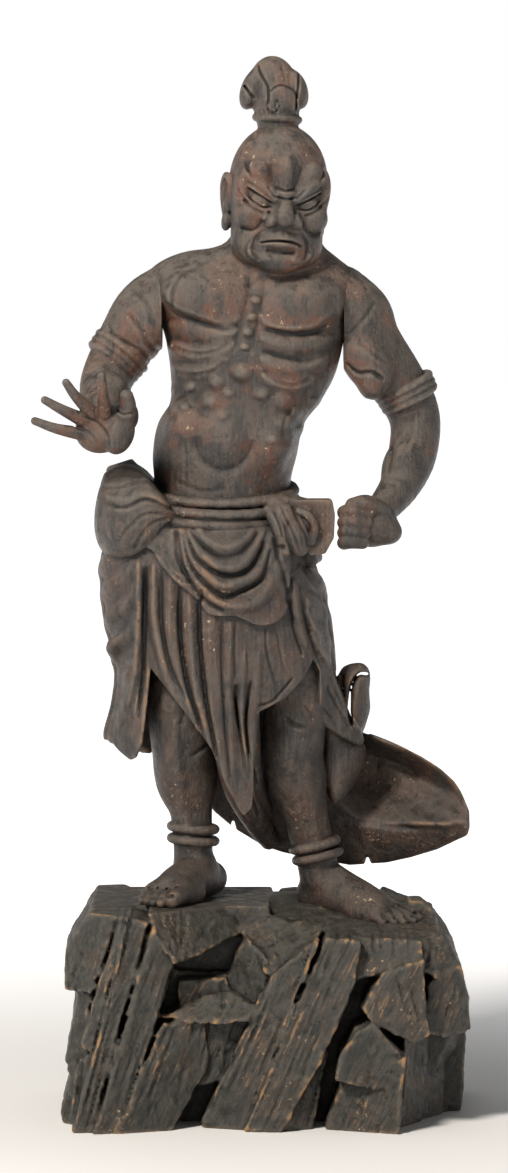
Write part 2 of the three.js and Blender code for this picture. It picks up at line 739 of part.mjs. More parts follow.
function figure() {
  const trunkPieces = join([...torso(), ...head(), ...topknot()]);
  const seamCuts = [1, -1].map((side) => block([side * (FAR / 2 + ARM_SEAM), 0, 820], [FAR, FAR, 120]));
  const shoulders = trunkPieces.subtract(seamCuts[0]).subtract(seamCuts[1]);
  return join([shoulders, ...drapery(), ...tail(), ...legs()]);
}

// The feet are cut by the rock raised by the seam gap, so that the soles follow it and stand clear of it
const rock = plinth();
const raisedRock = solid(geometryOf(rock).translate(0, 0, SEAM_GAP));
const statue = new THREE.Group();
statue.add(
  meshOf("figure", figure().subtract(raisedRock), LACQUERED_WOOD),
  meshOf("right_arm", rightArm(), LACQUERED_WOOD),
  meshOf("left_arm", leftArm(), LACQUERED_WOOD),
  meshOf("rock_plinth", rock, ROCK_WOOD),
);

// The part's origin is under the middle of its bounding box
const bounds = new THREE.Box3().setFromObject(statue);
const middle = bounds.getCenter(new THREE.Vector3());
statue.position.set(-middle.x, -middle.y, -bounds.min.z);

export default statue;
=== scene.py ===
# %% [markdown]
# # A carved wooden guardian on a rock
# The real statue is joined-block woodwork: blocks of wood hollowed, joined, carved with gouges and knives,
# then lacquered. The imported solids give its size, pose and main forms. This lesson carves the finer work
# over them, in the same frame, so nothing has to be fitted afterwards.

# %% Load the imported solids
import math
from collections import namedtuple

import bpy
import numpy as np
from mathutils import Matrix, Vector


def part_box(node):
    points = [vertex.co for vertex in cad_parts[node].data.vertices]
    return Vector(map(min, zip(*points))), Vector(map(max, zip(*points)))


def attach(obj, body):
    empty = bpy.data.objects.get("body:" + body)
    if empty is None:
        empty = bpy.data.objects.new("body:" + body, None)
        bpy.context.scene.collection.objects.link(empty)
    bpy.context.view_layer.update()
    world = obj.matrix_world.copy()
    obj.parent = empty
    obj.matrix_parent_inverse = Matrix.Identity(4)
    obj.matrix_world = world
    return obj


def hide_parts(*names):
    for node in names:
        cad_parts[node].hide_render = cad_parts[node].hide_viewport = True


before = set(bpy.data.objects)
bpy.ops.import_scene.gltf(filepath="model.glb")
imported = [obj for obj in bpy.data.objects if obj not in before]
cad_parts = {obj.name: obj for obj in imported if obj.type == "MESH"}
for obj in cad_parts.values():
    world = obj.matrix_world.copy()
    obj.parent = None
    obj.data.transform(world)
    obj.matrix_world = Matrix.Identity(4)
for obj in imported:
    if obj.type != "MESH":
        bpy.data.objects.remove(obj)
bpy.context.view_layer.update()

# %% [markdown]
# ## Wood as a field of distances
# A sculptor adds clay and takes wood away. A mesh alone is poor at both, so each block starts as a grid of
# numbers: how far each point is from the surface, negative inside the wood. Adding a form is the smaller of
# two distances, cutting is the larger, and a soft version of either gives the rounded fillets of a gouge.
# The lines of the grid needn't be evenly spaced: they lie closer where the carving is finer, as at the face.
# All lengths in the carving cells are millimetres, in the coordinates of the solids' own drawing.

# %% The block of wood
AIR = 25.0
MARGIN = 7.0
Shape = namedtuple("Shape", "low high distance")


def soft_min(a, b, blend):
    if blend <= 0:
        return np.minimum(a, b)
    near = np.maximum(blend - np.abs(a - b), 0) / blend
    return np.minimum(a, b) - near * near * blend * 0.25


class Wood:
    def __init__(self, lines):
        self.lines = lines
        self.field = np.full([len(v) for v in lines], AIR, np.float32)

    def window(self, low, high):
        cuts = tuple(
            slice(np.searchsorted(v, a), np.searchsorted(v, b))
            for v, a, b in zip(self.lines, low, high)
        )
        return cuts, np.ix_(*(v[c] for v, c in zip(self.lines, cuts)))

    def near(self, shape):
        cuts, lines = self.window(np.subtract(shape.low, MARGIN), np.add(shape.high, MARGIN))
        return cuts, shape.distance(*lines)

    def add(self, shape, blend):
        cuts, distance = self.near(shape)
        self.field[cuts] = soft_min(self.field[cuts], distance, blend)

    def add_eggs(self, blend, rows):
        for row in rows:
            self.add(egg(*row), blend)

    def cut(self, shape, blend):
        cuts, distance = self.near(shape)
        self.field[cuts] = -soft_min(-self.field[cuts], distance, blend)

    def blank(self, low, high):
        cuts, _ = self.window(low, high)
        part = Wood([v[c] for v, c in zip(self.lines, cuts)])
        part.cuts = cuts
        return part

    def join(self, part, blend):
        self.field[part.cuts] = soft_min(self.field[part.cuts], part.field, blend)

    def emboss(self, relief, near, far, axes=None, centre=(0, 0, 0)):
        x, y, z = (v - c for v, c in zip(np.ix_(*self.lines), centre))
        if axes is not None:
            x, y, z = (x * a[0] + y * a[1] + z * a[2] for a in axes)
        share = np.clip((far - y) / (far - near), 0, 1)
        self.field -= relief.at(x, z) * share


def box_blur(field, reach):
    for axis in range(3):
        moved = np.moveaxis(field, axis, 0)
        padded = np.concatenate([np.repeat(moved[:1], reach + 1, 0), moved, np.repeat(moved[-1:], reach, 0)])
        total = np.cumsum(padded, 0, dtype=np.float64)
        span = 2 * reach + 1
        moved = ((total[span:] - total[:-span]) / span).astype(np.float32)
        field = np.moveaxis(moved, 0, axis)
    return field


def grid_lines(start, stop, step, fine_from, fine_to, fine):
    spans = ((start, fine_from, step), (fine_from, fine_to, fine), (fine_to, stop + step, step))
    return np.concatenate([np.arange(*span) for span in spans]).astype(np.float32)


# %% [markdown]
# ## A carver's set of forms
# Muscles, toes and beads are eggs, arms and legs are chains of tapering rods, and the chest and hips are
# level ovals that change on the way up. Everything is given by a few landmarks, and a smooth curve runs
# through them, as a carver joins the points marked on the block. An egg is its centre, its three radii and
# its tilt in the picture plane, and a point of a rod is x, y, z and a radius.

# %% Forms
def smooth_rows(rows, per_span):
    rows = np.array(rows, float)
    if len(rows) < 3:
        return rows
    padded = np.vstack([2 * rows[0] - rows[1], rows, 2 * rows[-1] - rows[-2]])
    made = []
    for i in range(len(rows) - 1):
        a, b, c, d = padded[i : i + 4]
        for t in np.arange(per_span) / per_span:
            bend = (2 * a - 5 * b + 4 * c - d) * t**2 + (3 * b - a - 3 * c + d) * t**3
            made.append(0.5 * (2 * b + (c - a) * t + bend))
    return np.array(made + [rows[-1]])


def frontal(degrees):
    c, s = math.cos(math.radians(degrees)), math.sin(math.radians(degrees))
    return np.array([[c, 0, s], [0, 1, 0], [-s, 0, c]])


def egg(centre, radii, tilt=0, axes=None):
    axes = frontal(tilt) if axes is None else axes
    radii = np.array(radii, float)
    reach = np.abs(axes.T) @ radii

    def distance(x, y, z):
        dx, dy, dz = x - centre[0], y - centre[1], z - centre[2]
        k0 = k1 = 0
        for axis, r in zip(axes, radii):
            share = (dx * axis[0] + dy * axis[1] + dz * axis[2]) / r
            k0 = k0 + share**2
            k1 = k1 + (share / r) ** 2
        k0 = np.sqrt(k0)
        return k0 * (k0 - 1) / np.sqrt(k1 + 1e-6)

    return Shape(np.subtract(centre, reach), np.add(centre, reach), distance)


def limb(rows, per_span=4):
    rows = smooth_rows(rows, per_span)
    reach = rows[:, 3].max()

    def distance(x, y, z):
        best = None
        for (*a, ra), (*b, rb) in zip(rows[:-1], rows[1:]):
            run = np.subtract(b, a)
            t = ((x - a[0]) * run[0] + (y - a[1]) * run[1] + (z - a[2]) * run[2]) / (run @ run)
            t = np.clip(t, 0, 1)
            qx, qy, qz = x - a[0] - t * run[0], y - a[1] - t * run[1], z - a[2] - t * run[2]
            far = np.sqrt(qx * qx + qy * qy + qz * qz) - (ra + t * (rb - ra))
            best = far if best is None else np.minimum(best, far)
        return best

    return Shape(rows[:, :3].min(0) - reach, rows[:, :3].max(0) + reach, distance)


def trunk(rows, per_span=6):
    rows = np.array(sorted(smooth_rows(rows, per_span).tolist(), key=lambda r: r[2]))
    cx, cy, cz, wide, deep = rows.T

    def distance(x, y, z):
        px, py = x - np.interp(z, cz, cx), y - np.interp(z, cz, cy)
        a, b = np.interp(z, cz, wide), np.interp(z, cz, deep)
        k0 = np.sqrt((px / a) ** 2 + (py / b) ** 2)
        k1 = np.sqrt((px / a**2) ** 2 + (py / b**2) ** 2 + 1e-9)
        side = k0 * (k0 - 1) / k1
        return np.maximum(side, np.maximum(cz[0] - z, z - cz[-1])).astype(np.float32)

    low = [(cx - wide).min(), (cy - deep).min(), cz[0]]
    high = [(cx + wide).max(), (cy + deep).max(), cz[-1]]
    return Shape(low, high, distance)


def ring(centre, radii, thick, along, spans=20):
    along = Vector(along).normalized()
    across = along.cross(Vector((0, 1, 0))).normalized()
    other = along.cross(across)
    turns = np.linspace(0, 2 * math.pi, spans + 1)
    rows = [
        [*(Vector(centre) + across * math.cos(t) * radii[0] + other * math.sin(t) * radii[1]), thick]
        for t in turns
    ]
    return limb(rows, per_span=1)


def slab(points, y_low, y_high, per_span=1):
    rows = np.array(points, float)
    if per_span > 1:
        rows = smooth_rows(np.vstack([rows, rows[:1]]), per_span)[:-1]

    def distance(x, y, z):
        best = None
        inside = np.zeros(np.broadcast(x, z).shape, bool)
        for a, b in zip(rows, np.roll(rows, -1, 0)):
            run = b - a
            t = np.clip(((x - a[0]) * run[0] + (z - a[1]) * run[1]) / (run @ run + 1e-9), 0, 1)
            far = (x - a[0] - t * run[0]) ** 2 + (z - a[1] - t * run[1]) ** 2
            best = far if best is None else np.minimum(best, far)
            crosses = (z < a[1]) != (z < b[1])
            side = a[0] + (z - a[1]) * run[0] / (run[1] if run[1] else 1e-9)
            inside ^= crosses & (x < side)
        flat = np.sqrt(best) * np.where(inside, -1, 1)
        return np.maximum(flat, np.maximum(y_low - y, y - y_high)).astype(np.float32)

    low, high = rows.min(0), rows.max(0)
    return Shape([low[0], y_low, low[1]], [high[0], y_high, high[1]], distance)


# %% [markdown]
# ## Relief drawn from the front
# Folds, ribs and wrinkles are lines that a carver draws on the block and then cuts in. Here they are drawn
# on a flat sheet that looks along +Y, x to the right and z up, as heights in millimetres, and pressed onto
# the front of a form. A ridge is rounded, a crease is a sharp valley, and a lap is a step: the edge of one
# layer of cloth that lies over the next. Each row of a drawing is a width, a height or depth, and the points.

# %% The sheet of relief
class Relief:
    def __init__(self, x_range, z_range, step=0.7):
        self.x = np.arange(*x_range, step)
        self.z = np.arange(*z_range, step)
        self.step = step
        self.height = np.zeros((len(self.x), len(self.z)), np.float32)

    def at(self, x, z):
        i = np.clip((x - self.x[0]) / self.step, 0, len(self.x) - 1.001)
        j = np.clip((z - self.z[0]) / self.step, 0, len(self.z) - 1.001)
        i0, j0 = i.astype(np.int32), j.astype(np.int32)
        u, v = i - i0, j - j0
        h = self.height
        low = h[i0, j0] * (1 - u) + h[i0 + 1, j0] * u
        high = h[i0, j0 + 1] * (1 - u) + h[i0 + 1, j0 + 1] * u
        return low * (1 - v) + high * v

    def along(self, points, reach):
        rows = smooth_rows(points, 6)
        low, high = rows.min(0) - reach, rows.max(0) + reach
        ci = slice(np.searchsorted(self.x, low[0]), np.searchsorted(self.x, high[0]))
        cj = slice(np.searchsorted(self.z, low[1]), np.searchsorted(self.z, high[1]))
        x, z = np.ix_(self.x[ci], self.z[cj])
        best = np.full((x.shape[0], z.shape[1]), 1e9)
        side = np.zeros_like(best)
        share = np.zeros_like(best)
        spans = len(rows) - 1
        for i, (a, b) in enumerate(zip(rows[:-1], rows[1:])):
            run = b - a
            t = np.clip(((x - a[0]) * run[0] + (z - a[1]) * run[1]) / (run @ run), 0, 1)
            dx, dz = x - a[0] - t * run[0], z - a[1] - t * run[1]
            far = np.hypot(dx, dz)
            closer = far < best
            best = np.where(closer, far, best)
            side = np.where(closer, np.sign(run[0] * dz - run[1] * dx), side)
            share = np.where(closer, (i + t) / spans, share)
        return (ci, cj), best, side, share

    def ease(self, share, ends):
        if ends <= 0:
            return 1.0
        e = np.clip(np.minimum(share, 1 - share) / ends, 0, 1)
        return np.sqrt(e * (2 - e))

    def ridge(self, points, width, height, ends=0.25):
        where, far, _, share = self.along(points, width)
        s = np.clip(far / (width * np.maximum(self.ease(share, ends), 0.2)), 0, 1)
        self.height[where] += height * self.ease(share, ends) * (1 - s * s) ** 2

    def crease(self, points, width, depth, ends=0.25):
        where, far, _, share = self.along(points, width)
        s = np.clip(far / width, 0, 1)
        self.height[where] -= depth * self.ease(share, ends) * (1 - s) ** 2

    def lap(self, points, width, height, ends=0.2, edge=1.2):
        where, far, side, share = self.along(points, width)
        signed = far * side
        step = np.clip(signed / edge + 0.5, 0, 1)
        fall = np.clip(1 - signed / width, 0, 1) ** 2
        self.height[where] += height * self.ease(share, ends) * step * fall

    def bump(self, centre, radii, height):
        x, z = np.ix_(self.x - centre[0], self.z - centre[1])
        r = np.hypot(x / radii[0], z / radii[1])
        self.height += height * np.clip(1 - r * r, 0, 1) ** 1.5


def draw(line, ends, rows):
    for width, height, points in rows:
        line(points, width, height, ends)


# %% [markdown]
# ## From the field to a mesh
# The surface is where the distances change sign. Each small cell of the grid that the surface crosses gets
# one vertex, at the mean of the crossings on its edges, and each crossed edge becomes one four-sided face.
# Where two corners of wood only touch across the edge of a cell, the mesh wouldn't be watertight, so a
# little wood is added there before the faces are drawn.

# %% Meshing
TOUCH_PASSES = 6
JUST_INSIDE = -0.05


def shifted(array, axes, moves):
    cut = [slice(None)] * 3
    for axis, move in zip(axes, moves):
        cut[axis] = slice(move, array.shape[axis] - 1 + move)
    return array[tuple(cut)]


def join_touching_corners(field):
    for _ in range(TOUCH_PASSES):
        inside = field < 0
        mended = 0
        for axes in ((0, 1), (0, 2), (1, 2)):
            a, b, c, d = (shifted(inside, axes, moves) for moves in ((0, 0), (1, 0), (0, 1), (1, 1)))
            crossed = (a == d) & (b == c) & (a != b)
            beside, here = np.nonzero(crossed & a), np.nonzero(crossed & b)
            field[tuple(at + (axis == axes[0]) for axis, at in enumerate(beside))] = JUST_INSIDE
            field[here] = JUST_INSIDE
            mended += len(beside[0]) + len(here[0])
        if not mended:
            break
    return field


def surface(wood):
    field = join_touching_corners(wood.field)
    inside = field < 0
    nx, ny, nz = field.shape
    count = np.zeros((nx - 1, ny - 1, nz - 1), np.uint8)
    corners = [(i, j, k) for i in (0, 1) for j in (0, 1) for k in (0, 1)]
    for i, j, k in corners:
        count += inside[i : nx - 1 + i, j : ny - 1 + j, k : nz - 1 + k]
    cells = np.flatnonzero(((count > 0) & (count < 8)).ravel())
    ci, cj, ck = np.unravel_index(cells, count.shape)
    number = np.full(count.size, -1, np.int32)
    number[cells] = np.arange(len(cells))
    number = number.reshape(count.shape)
    total = np.zeros((len(cells), 3))
    hits = np.zeros(len(cells))
    for axis in range(3):
        for i, j, k in corners:
            if (i, j, k)[axis]:
                continue
            a_at = (ci + i, cj + j, ck + k)
            b_at = tuple(p + (1 if n == axis else 0) for n, p in enumerate(a_at))
            a, b = field[a_at], field[b_at]
            hit = (a < 0) != (b < 0)
            t = np.where(hit, a / np.where(hit, a - b, 1), 0)
            for n, lines in enumerate(wood.lines):
                start, stop = lines[a_at[n]], lines[b_at[n]]
                total[:, n] += np.where(hit, start + t * (stop - start), 0)
            hits += hit
    points = total / hits[:, None]
    faces = []
    for axis, (u, v) in enumerate(((1, 2), (2, 0), (0, 1))):
        a, b = (
            inside[tuple(cut if n == axis else slice(1, -1) for n in range(3))]
            for cut in (slice(0, -1), slice(1, None))
        )
        for solid_first in (True, False):
            at = list(np.nonzero(a & ~b if solid_first else b & ~a))
            at[u] = at[u] + 1
            at[v] = at[v] + 1
            loop = []
            for du, dv in ((-1, -1), (0, -1), (0, 0), (-1, 0)):
                spot = list(at)
                spot[u] = spot[u] + du
                spot[v] = spot[v] + dv
                loop.append(number[tuple(spot)])
            faces.append(np.stack(loop if solid_first else loop[::-1], 1))
    return points, np.concatenate(faces)


def mesh_object(name, points, faces):
    mesh = bpy.data.meshes.new(name)
    mesh.vertices.add(len(points))
    mesh.vertices.foreach_set("co", points.astype(np.float32).ravel())
    size = faces.shape[1]
    mesh.loops.add(faces.size)
    mesh.loops.foreach_set("vertex_index", faces.astype(np.int32).ravel())
    mesh.polygons.add(len(faces))
    mesh.polygons.foreach_set("loop_start", np.arange(0, faces.size, size, dtype=np.int32))
    mesh.update(calc_edges=True)
    made = bpy.data.objects.new(name, mesh)
    bpy.context.scene.collection.objects.link(made)
    return made


# %% [markdown]
# ## Where the carving stands
# The drawing of the solids has its own origin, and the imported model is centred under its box. The plinth's
# box gives the shift between the two, so every carved point lands on its solid.

# %% The shift from drawing to frame
PLINTH_LEFT = -190.0
PLINTH_BACK = 140.0
plinth_low, plinth_high = (np.array(corner) * 1000 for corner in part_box("rock_plinth"))
SHIFT = np.array([plinth_low[0] - PLINTH_LEFT, plinth_high[1] - PLINTH_BACK, 0.0])
print("shift from drawing to frame, mm:", SHIFT.round(2))

FIGURE_STEP = 1.5
HEAD_STEP = 0.9
figure = Wood([
    grid_lines(-165, 228, FIGURE_STEP, -34, 84, HEAD_STEP),
    grid_lines(-102, 106, FIGURE_STEP, -95, 20, HEAD_STEP),
    grid_lines(186, 1066, FIGURE_STEP, 836, 1062, HEAD_STEP),
])
print("grid of the figure:", figure.field.shape)

# %% [markdown]
# ## The torso
# A nio stands bare-chested, with every muscle drawn as a swelling mass. The chest is a level oval trunk with
# the large muscles added. The lower edge of a breast muscle or a rib is a small step with a shadow under it,
# so it is drawn as a lap, and the beads on the breastbone and the knots of muscle are low bumps.

# %% Torso
torso = figure.blank((-130, -95, 560), (130, 75, 910))
torso.add(trunk([
    [-34, 4, 570, 74, 60],
    [-31, 0, 625, 68, 56],
    [-28, -2, 660, 72, 58],
    [-22, -2, 690, 73, 57],
    [-8, 0, 712, 75, 57],
    [0, 2, 740, 82, 60],
    [2, 4, 775, 89, 62],
    [0, 6, 810, 97, 60],
    [2, 8, 838, 95, 52],
    [10, 6, 856, 72, 44],
    [21, 2, 872, 47, 38],
    [25, -6, 905, 38, 34],
]), 0)
torso.add_eggs(12, (
    ([-45, -29, 816], [47, 31, 30], -8),
    ([46, -29, 810], [45, 31, 30], 8),
    ([-63, 6, 839], [47, 36, 23], 14),
    ([68, 6, 832], [43, 36, 23], -16),
    ([-64, -26, 690], [22, 30, 25], 24),
    ([16, -34, 676], [24, 26, 34], -16),
    ([-46, 34, 800], [38, 34, 46], -10),
    ([48, 34, 796], [38, 34, 46], 10),
    ([0, 44, 690], [20, 18, 90], 0),
))
torso.add(egg([-29, -38, 676], [26, 27, 30]), 6)

# %% Ribs, beads and creases of the chest
chest = Relief((-125, 130), (560, 900), 0.6)
chest.lap([(-90, 822), (-78, 806), (-52, 796), (-26, 789), (-10, 796)], 26, 3.6, 0.3, 5)
chest.lap([(4, 798), (14, 788), (38, 784), (62, 787), (82, 803)], 26, 4, 0.3, 5)
draw(chest.ridge, 0.3, (
    (12, 4, [(-86, 790), (-62, 781), (-38, 779), (-14, 786)]),
    (12, 4, [(-86, 769), (-62, 761), (-38, 763), (-18, 772)]),
    (11, 3.4, [(-82, 747), (-62, 743), (-42, 747), (-24, 757)]),
    (12, 4.4, [(6, 778), (28, 771), (56, 769), (80, 777)]),
    (12, 4.4, [(6, 758), (20, 750), (38, 746), (58, 749), (76, 760)]),
    (10, 3.8, [(8, 741), (24, 733), (44, 731), (62, 739)]),
))
draw(chest.crease, 0.15, (
    (5, 2, [(-86, 812), (-76, 800), (-52, 791), (-26, 784), (-12, 789)]),
    (6, 2.2, [(12, 786), (34, 780), (58, 781), (74, 789)]),
    (8, 2, [(-3, 842), (-4, 822), (-8, 802), (-13, 784), (-17, 766)]),
    (8, 2, [(10, 838), (10, 816), (6, 796), (3, 778), (0, 760)]),
    (5, 2, [(-82, 768), (-60, 761), (-38, 763), (-20, 773)]),
    (5, 2, [(-80, 744), (-60, 740), (-40, 744), (-26, 754)]),
    (5, 2, [(8, 764), (30, 757), (56, 754), (76, 760)]),
    (5, 2, [(10, 744), (22, 735), (38, 730), (58, 736)]),
    (6, 2, [(-84, 734), (-84, 712), (-78, 694)]),
    (10, 3.4, [(-56, 680), (-54, 664), (-46, 652), (-30, 646), (-14, 651), (-4, 663), (0, 676)]),
    (6, 1.6, [(-74, 634), (-50, 625), (-26, 628)]),
    (6, 1.6, [(14, 842), (4, 832), (-8, 824)]),
    (5, 2, [(-54, 846), (-70, 838), (-79, 822), (-80, 806)]),
    (9, 1.6, [(2, 664), (10, 640), (8, 620)]),
    (7, 2, [(38, 706), (30, 690), (32, 668)]),
))
for x, z, size, height in (
    (3, 814, 7, 5), (-1, 797, 6.5, 5), (-5, 782, 7, 5), (-8, 768, 6.5, 4.6), (-11, 742, 13, 7),
    (-36, 734, 11, 4.6), (-63, 728, 8, 3.8), (-44, 714, 11, 4.6), (-68, 710, 8, 3.6), (-24, 722, 8, 3),
    (9, 721, 10, 4), (30, 715, 12, 4.2), (19, 677, 9, 3), (31, 693, 11, 3.6), (46, 702, 10, 3),
    (62, 712, 9, 3), (50, 684, 9, 2.6), (-81, 724, 6, 2.4), (-30, 700, 8, 2.4),
):
    chest.bump((x, z), (size, size * 0.86), height)
for points in ([(-66, 676), (-66, 612)], [(-53, 870), (-54, 856)], [(-31, 622), (-30, 600)]):
    chest.crease(points, 2, 1.2, 0.1)
torso.emboss(chest, -20, 10)
figure.join(torso, 0)
print("torso carved:", torso.field.shape)

# %% [markdown]
# ## The head
# The face is turned a little to the viewer's right, lowered and leaning. It is carved upright in its own
# axes, where left and right mirror each other, and set on the neck by three turns. The scowl is made of few
# strong forms: three lumps on the brow, eyes that slant down to the nose, a broad nose and deep folds.

# %% Head axes
HEAD_CENTRE = np.array([24.5, -20.0, 915.0])
HEAD_TURN, HEAD_NOD, HEAD_LEAN = 8, 6, 4


def turned(*turns):
    total = Matrix.Identity(3)
    for degrees, axis in turns:
        total = total @ Matrix.Rotation(math.radians(degrees), 3, axis)
    return np.array(total.transposed())


HEAD = turned((HEAD_TURN, "Z"), (HEAD_NOD, "X"), (HEAD_LEAN, "Y"))


def on_head(u, v, w):
    return HEAD_CENTRE + HEAD.T @ np.array([u, v, w])


def head_egg(centre, radii, tilt=0):
    return egg(on_head(*centre), radii, axes=frontal(tilt) @ HEAD)


def head_limb(rows):
    return limb([[*on_head(*row[:3]), row[3]] for row in rows])


print("the face looks along", (-HEAD[1]).round(2))

# %% Skull, jaw and neck
head = figure.blank((-50, -106, 826), (104, 62, 1066))
for centre, radii, blend in (
    ([0, 5, 16], [48.5, 55, 57], 0),
    ([0, -15, -20], [46, 42, 46], 14),
    ([0, -8, -44], [43, 42, 30], 12),
    ([0, -42, -58], [22, 15, 13], 10),
):
    head.add(head_egg(centre, radii), blend)
for side in (-1, 1):
    head.add(head_egg([side * 31, -36, -16], [15, 16, 15]), 6)
    head.add(head_egg([side * 27, -24, -46], [16, 20, 18]), 8)
    head.add(head_egg([side * 40, -26, 12], [8, 16, 20]), 8)

# %% Brow, eyes, nose and mouth
head.add(head_egg([0, -42, -35], [22, 17, 14]), 7)
for side in (-1, 1):
    head.cut(head_egg([side * 22, -57, -1], [13, 8, 7], side * 20), 5)
    head.add(head_egg([side * 22, -42.5, -1.5], [11.5, 10, 8.5], side * 20), 1.5)
    head.add(head_limb([
        [side * 11, -52, 4, 4.5], [side * 23, -50, 13, 5], [side * 36, -41, 22, 4],
    ]), 5)
    head.add(head_egg([side * 25, -38 + 2 * side, 25], [11, 12, 15], -side * 34), 4)
    head.add(head_limb([
        [side * 10, -51.5, -2, 2], [side * 19, -52, 4, 2.6], [side * 29, -48, 9.5, 2.6],
        [side * 37, -39, 13, 2.2],
    ]), 1.2)
    head.add(head_limb([
        [side * 11, -49, -8, 1.8], [side * 21, -48, -11, 2.2], [side * 31, -44, -6, 2],
        [side * 38, -38, 2, 1.6],
    ]), 3)
head.add(head_egg([0, -42.5, 29], [8, 10.5, 14.5]), 5)
head.add(head_egg([0, -52, 8], [8, 6.5, 5]), 3)
head.add(head_limb([[0, -53, 3, 5], [0, -61, -7, 7], [-1, -64, -14, 9.5]]), 3)
for side in (-1, 1):
    head.add(head_egg([side * 13 - 1, -57, -18], [9, 10, 8]), 3)
    head.cut(head_egg([side * 7 - 1, -64, -25.5], [3.8, 4, 3]), 1.5)
lip_line = ((-21, -44.5, -40.5), (-10, -56, -38), (0, -59.5, -37), (10, -56, -38), (21, -44.5, -41.5))
head.add(head_limb([[u, v, w + 2.6, 3.2] for u, v, w in lip_line]), 2.5)
head.add(head_limb([[u * 0.8, v + 3, w - 4, 3.6] for u, v, w in lip_line]), 2)


def mirrored(side, points):
    return [(side * u, w) for u, w in points]


face = Relief((-60, 60), (-80, 80), 0.4)
face.crease([(-21, -42), (-10, -39), (0, -38.2), (10, -39), (21, -43)], 2.6, 4.5, 0.2)
face.crease([(-15, -49), (0, -50.5), (15, -49.5)], 7, 3.8)
face.crease([(0, -25), (0, -33)], 2.5, 1, 0)
for side in (-1, 1):
    for width, depth, points in (
        (6, 3.4, [(14, -10), (20, -21), (28, -30), (40, -30)]),
        (5, 3, [(18, -28), (25, -38), (27, -50), (22, -60)]),
        (2, 2.2, [(9, -4), (20, 1.5), (30, 7), (37, 11)]),
        (1.8, 2.4, [(11, -5.5), (21, -7), (31, -2), (36, 3)]),
        (6, 1.8, [(7, 12), (11.5, 19), (13.5, 27), (16, 36)]),
        (3, 2, [(34, 20), (38, 30), (38, 42)]),
        (3, 2.4, [(10, 3), (15, 9), (19, 14)]),
        (3.5, 2.4, [(20, -13), (30, -9), (40, -2)]),
        (3, 1.6, [(34, -4), (42, 2), (46, 10)]),
        (2.6, 1.5, [(30, -40), (34, -50), (30, -60)]),
    ):
        face.crease(mirrored(side, points), width, depth, 0.2)
    face.ridge(mirrored(side, [(10, -56), (22, -57), (32, -50)]), 6, 2)
for low, high in ((5, 3), (13, 11)):
    face.crease([(-11, low), (0, high), (11, low)], 2.5, 2.4, 0.2)
face.lap([(-60, 40), (-40, 52), (-18, 60), (4, 60), (24, 58), (42, 48), (60, 36)], 9, 1.0, 0.05)
head.emboss(face, -30, -12, HEAD, HEAD_CENTRE)

# %% Ears
for side, out in ((-1, -1), (1, -5)):
    head.add(head_egg([side * (48 + out), 6, 0], [6, 12, 22], side * 6), 3)
    head.add(head_limb([
        [side * (47 + out), -4, 0, 3], [side * (50 + out), -4, 12, 3.2], [side * (53 + out), 6, 18, 3.2],
        [side * (54 + out), 16, 8, 3.2], [side * (53 + out), 14, -8, 3], [side * (51 + out), 8, -20, 3],
    ]), 2)
    head.cut(head_egg([side * (56 + out), 5, 2], [4.5, 7, 11], side * 6), 2)
    head.add(head_egg([side * (50 + out), 3, -28], [5, 7, 9]), 3)
    head.cut(head_egg([side * (57 + out), 3, -28], [3, 3.5, 5]), 1.5)

# %% [markdown]
# ## The topknot
# The hair is tied up into one solid mass: a tall dome, a flat loop folded over on each side of it, and a
# tuft that hangs forward over the tie. Only the slot in the left loop and the lines between the locks are
# cut in, so nothing here is thin or pierced.

# %% Topknot
KNOT_X = 20
head.add(ring([KNOT_X + 4, -16, 993], [21, 20], 4, (0.07, 0, 1)), 2)
head.add(limb([[KNOT_X + 5, -15, 984, 20], [KNOT_X + 4, -15, 1000, 22], [KNOT_X + 3, -15, 1012, 24.5]]), 2)
head.add(egg([KNOT_X, -14, 1023], [24.5, 21, 32], 4), 3)
head.add_eggs(3, (
    ([-1, -15, 1022], [11, 18, 21], -20),
    ([43, -15, 1022], [11, 17, 20], 18),
))
head.add(egg([31, -27, 1010], [15.5, 12, 14], 30), 2)
knot = Relief((-20, 66), (985, 1062), 0.4)
draw(knot.crease, 0.2, (
    (3, 5, [(-9, 1026), (-5, 1020), (1, 1012)]),
    (3, 3.4, [(5, 1046), (8, 1036), (15, 1022), (15, 1006)]),
    (2.6, 3.4, [(45, 1038), (45, 1026), (43, 1012), (42, 1000)]),
    (2.6, 2.2, [(15, 1018), (28, 1025), (40, 1020), (44, 1012)]),
    (2, 2, [(16, 1012), (14, 1004), (18, 998), (24, 1000), (26, 1006), (22, 1011)]),
    (2, 1.4, [(25, 1012), (22, 1004), (24, 999)]),
    (1.8, 1, [(28, 1050), (30, 1038), (32, 1028)]),
    (1.8, 1, [(14, 1050), (20, 1038), (22, 1028)]),
))
for x in np.arange(-2, 52, 4.2):
    knot.crease([(x, 1001), (x + 1.5 * math.sin(x), 996)], 1.6, 0.9, 0)
head.emboss(knot, -20, -8)
figure.join(head, 7)
print("head carved:", head.field.shape)

# %% [markdown]
# ## Skirt, apron and belt
# The skirt hangs from the hips in deep pleats, and the wind folds its left side over itself. It is one
# layer of cloth over another: a hollow shell for the skirt, and a shell a little wider for the apron. Each
# is a stack of level ovals whose left and right ends follow the outline, given as a height and the two x.
# Hems are cut with flat outlines from the front, and by height all round the back.

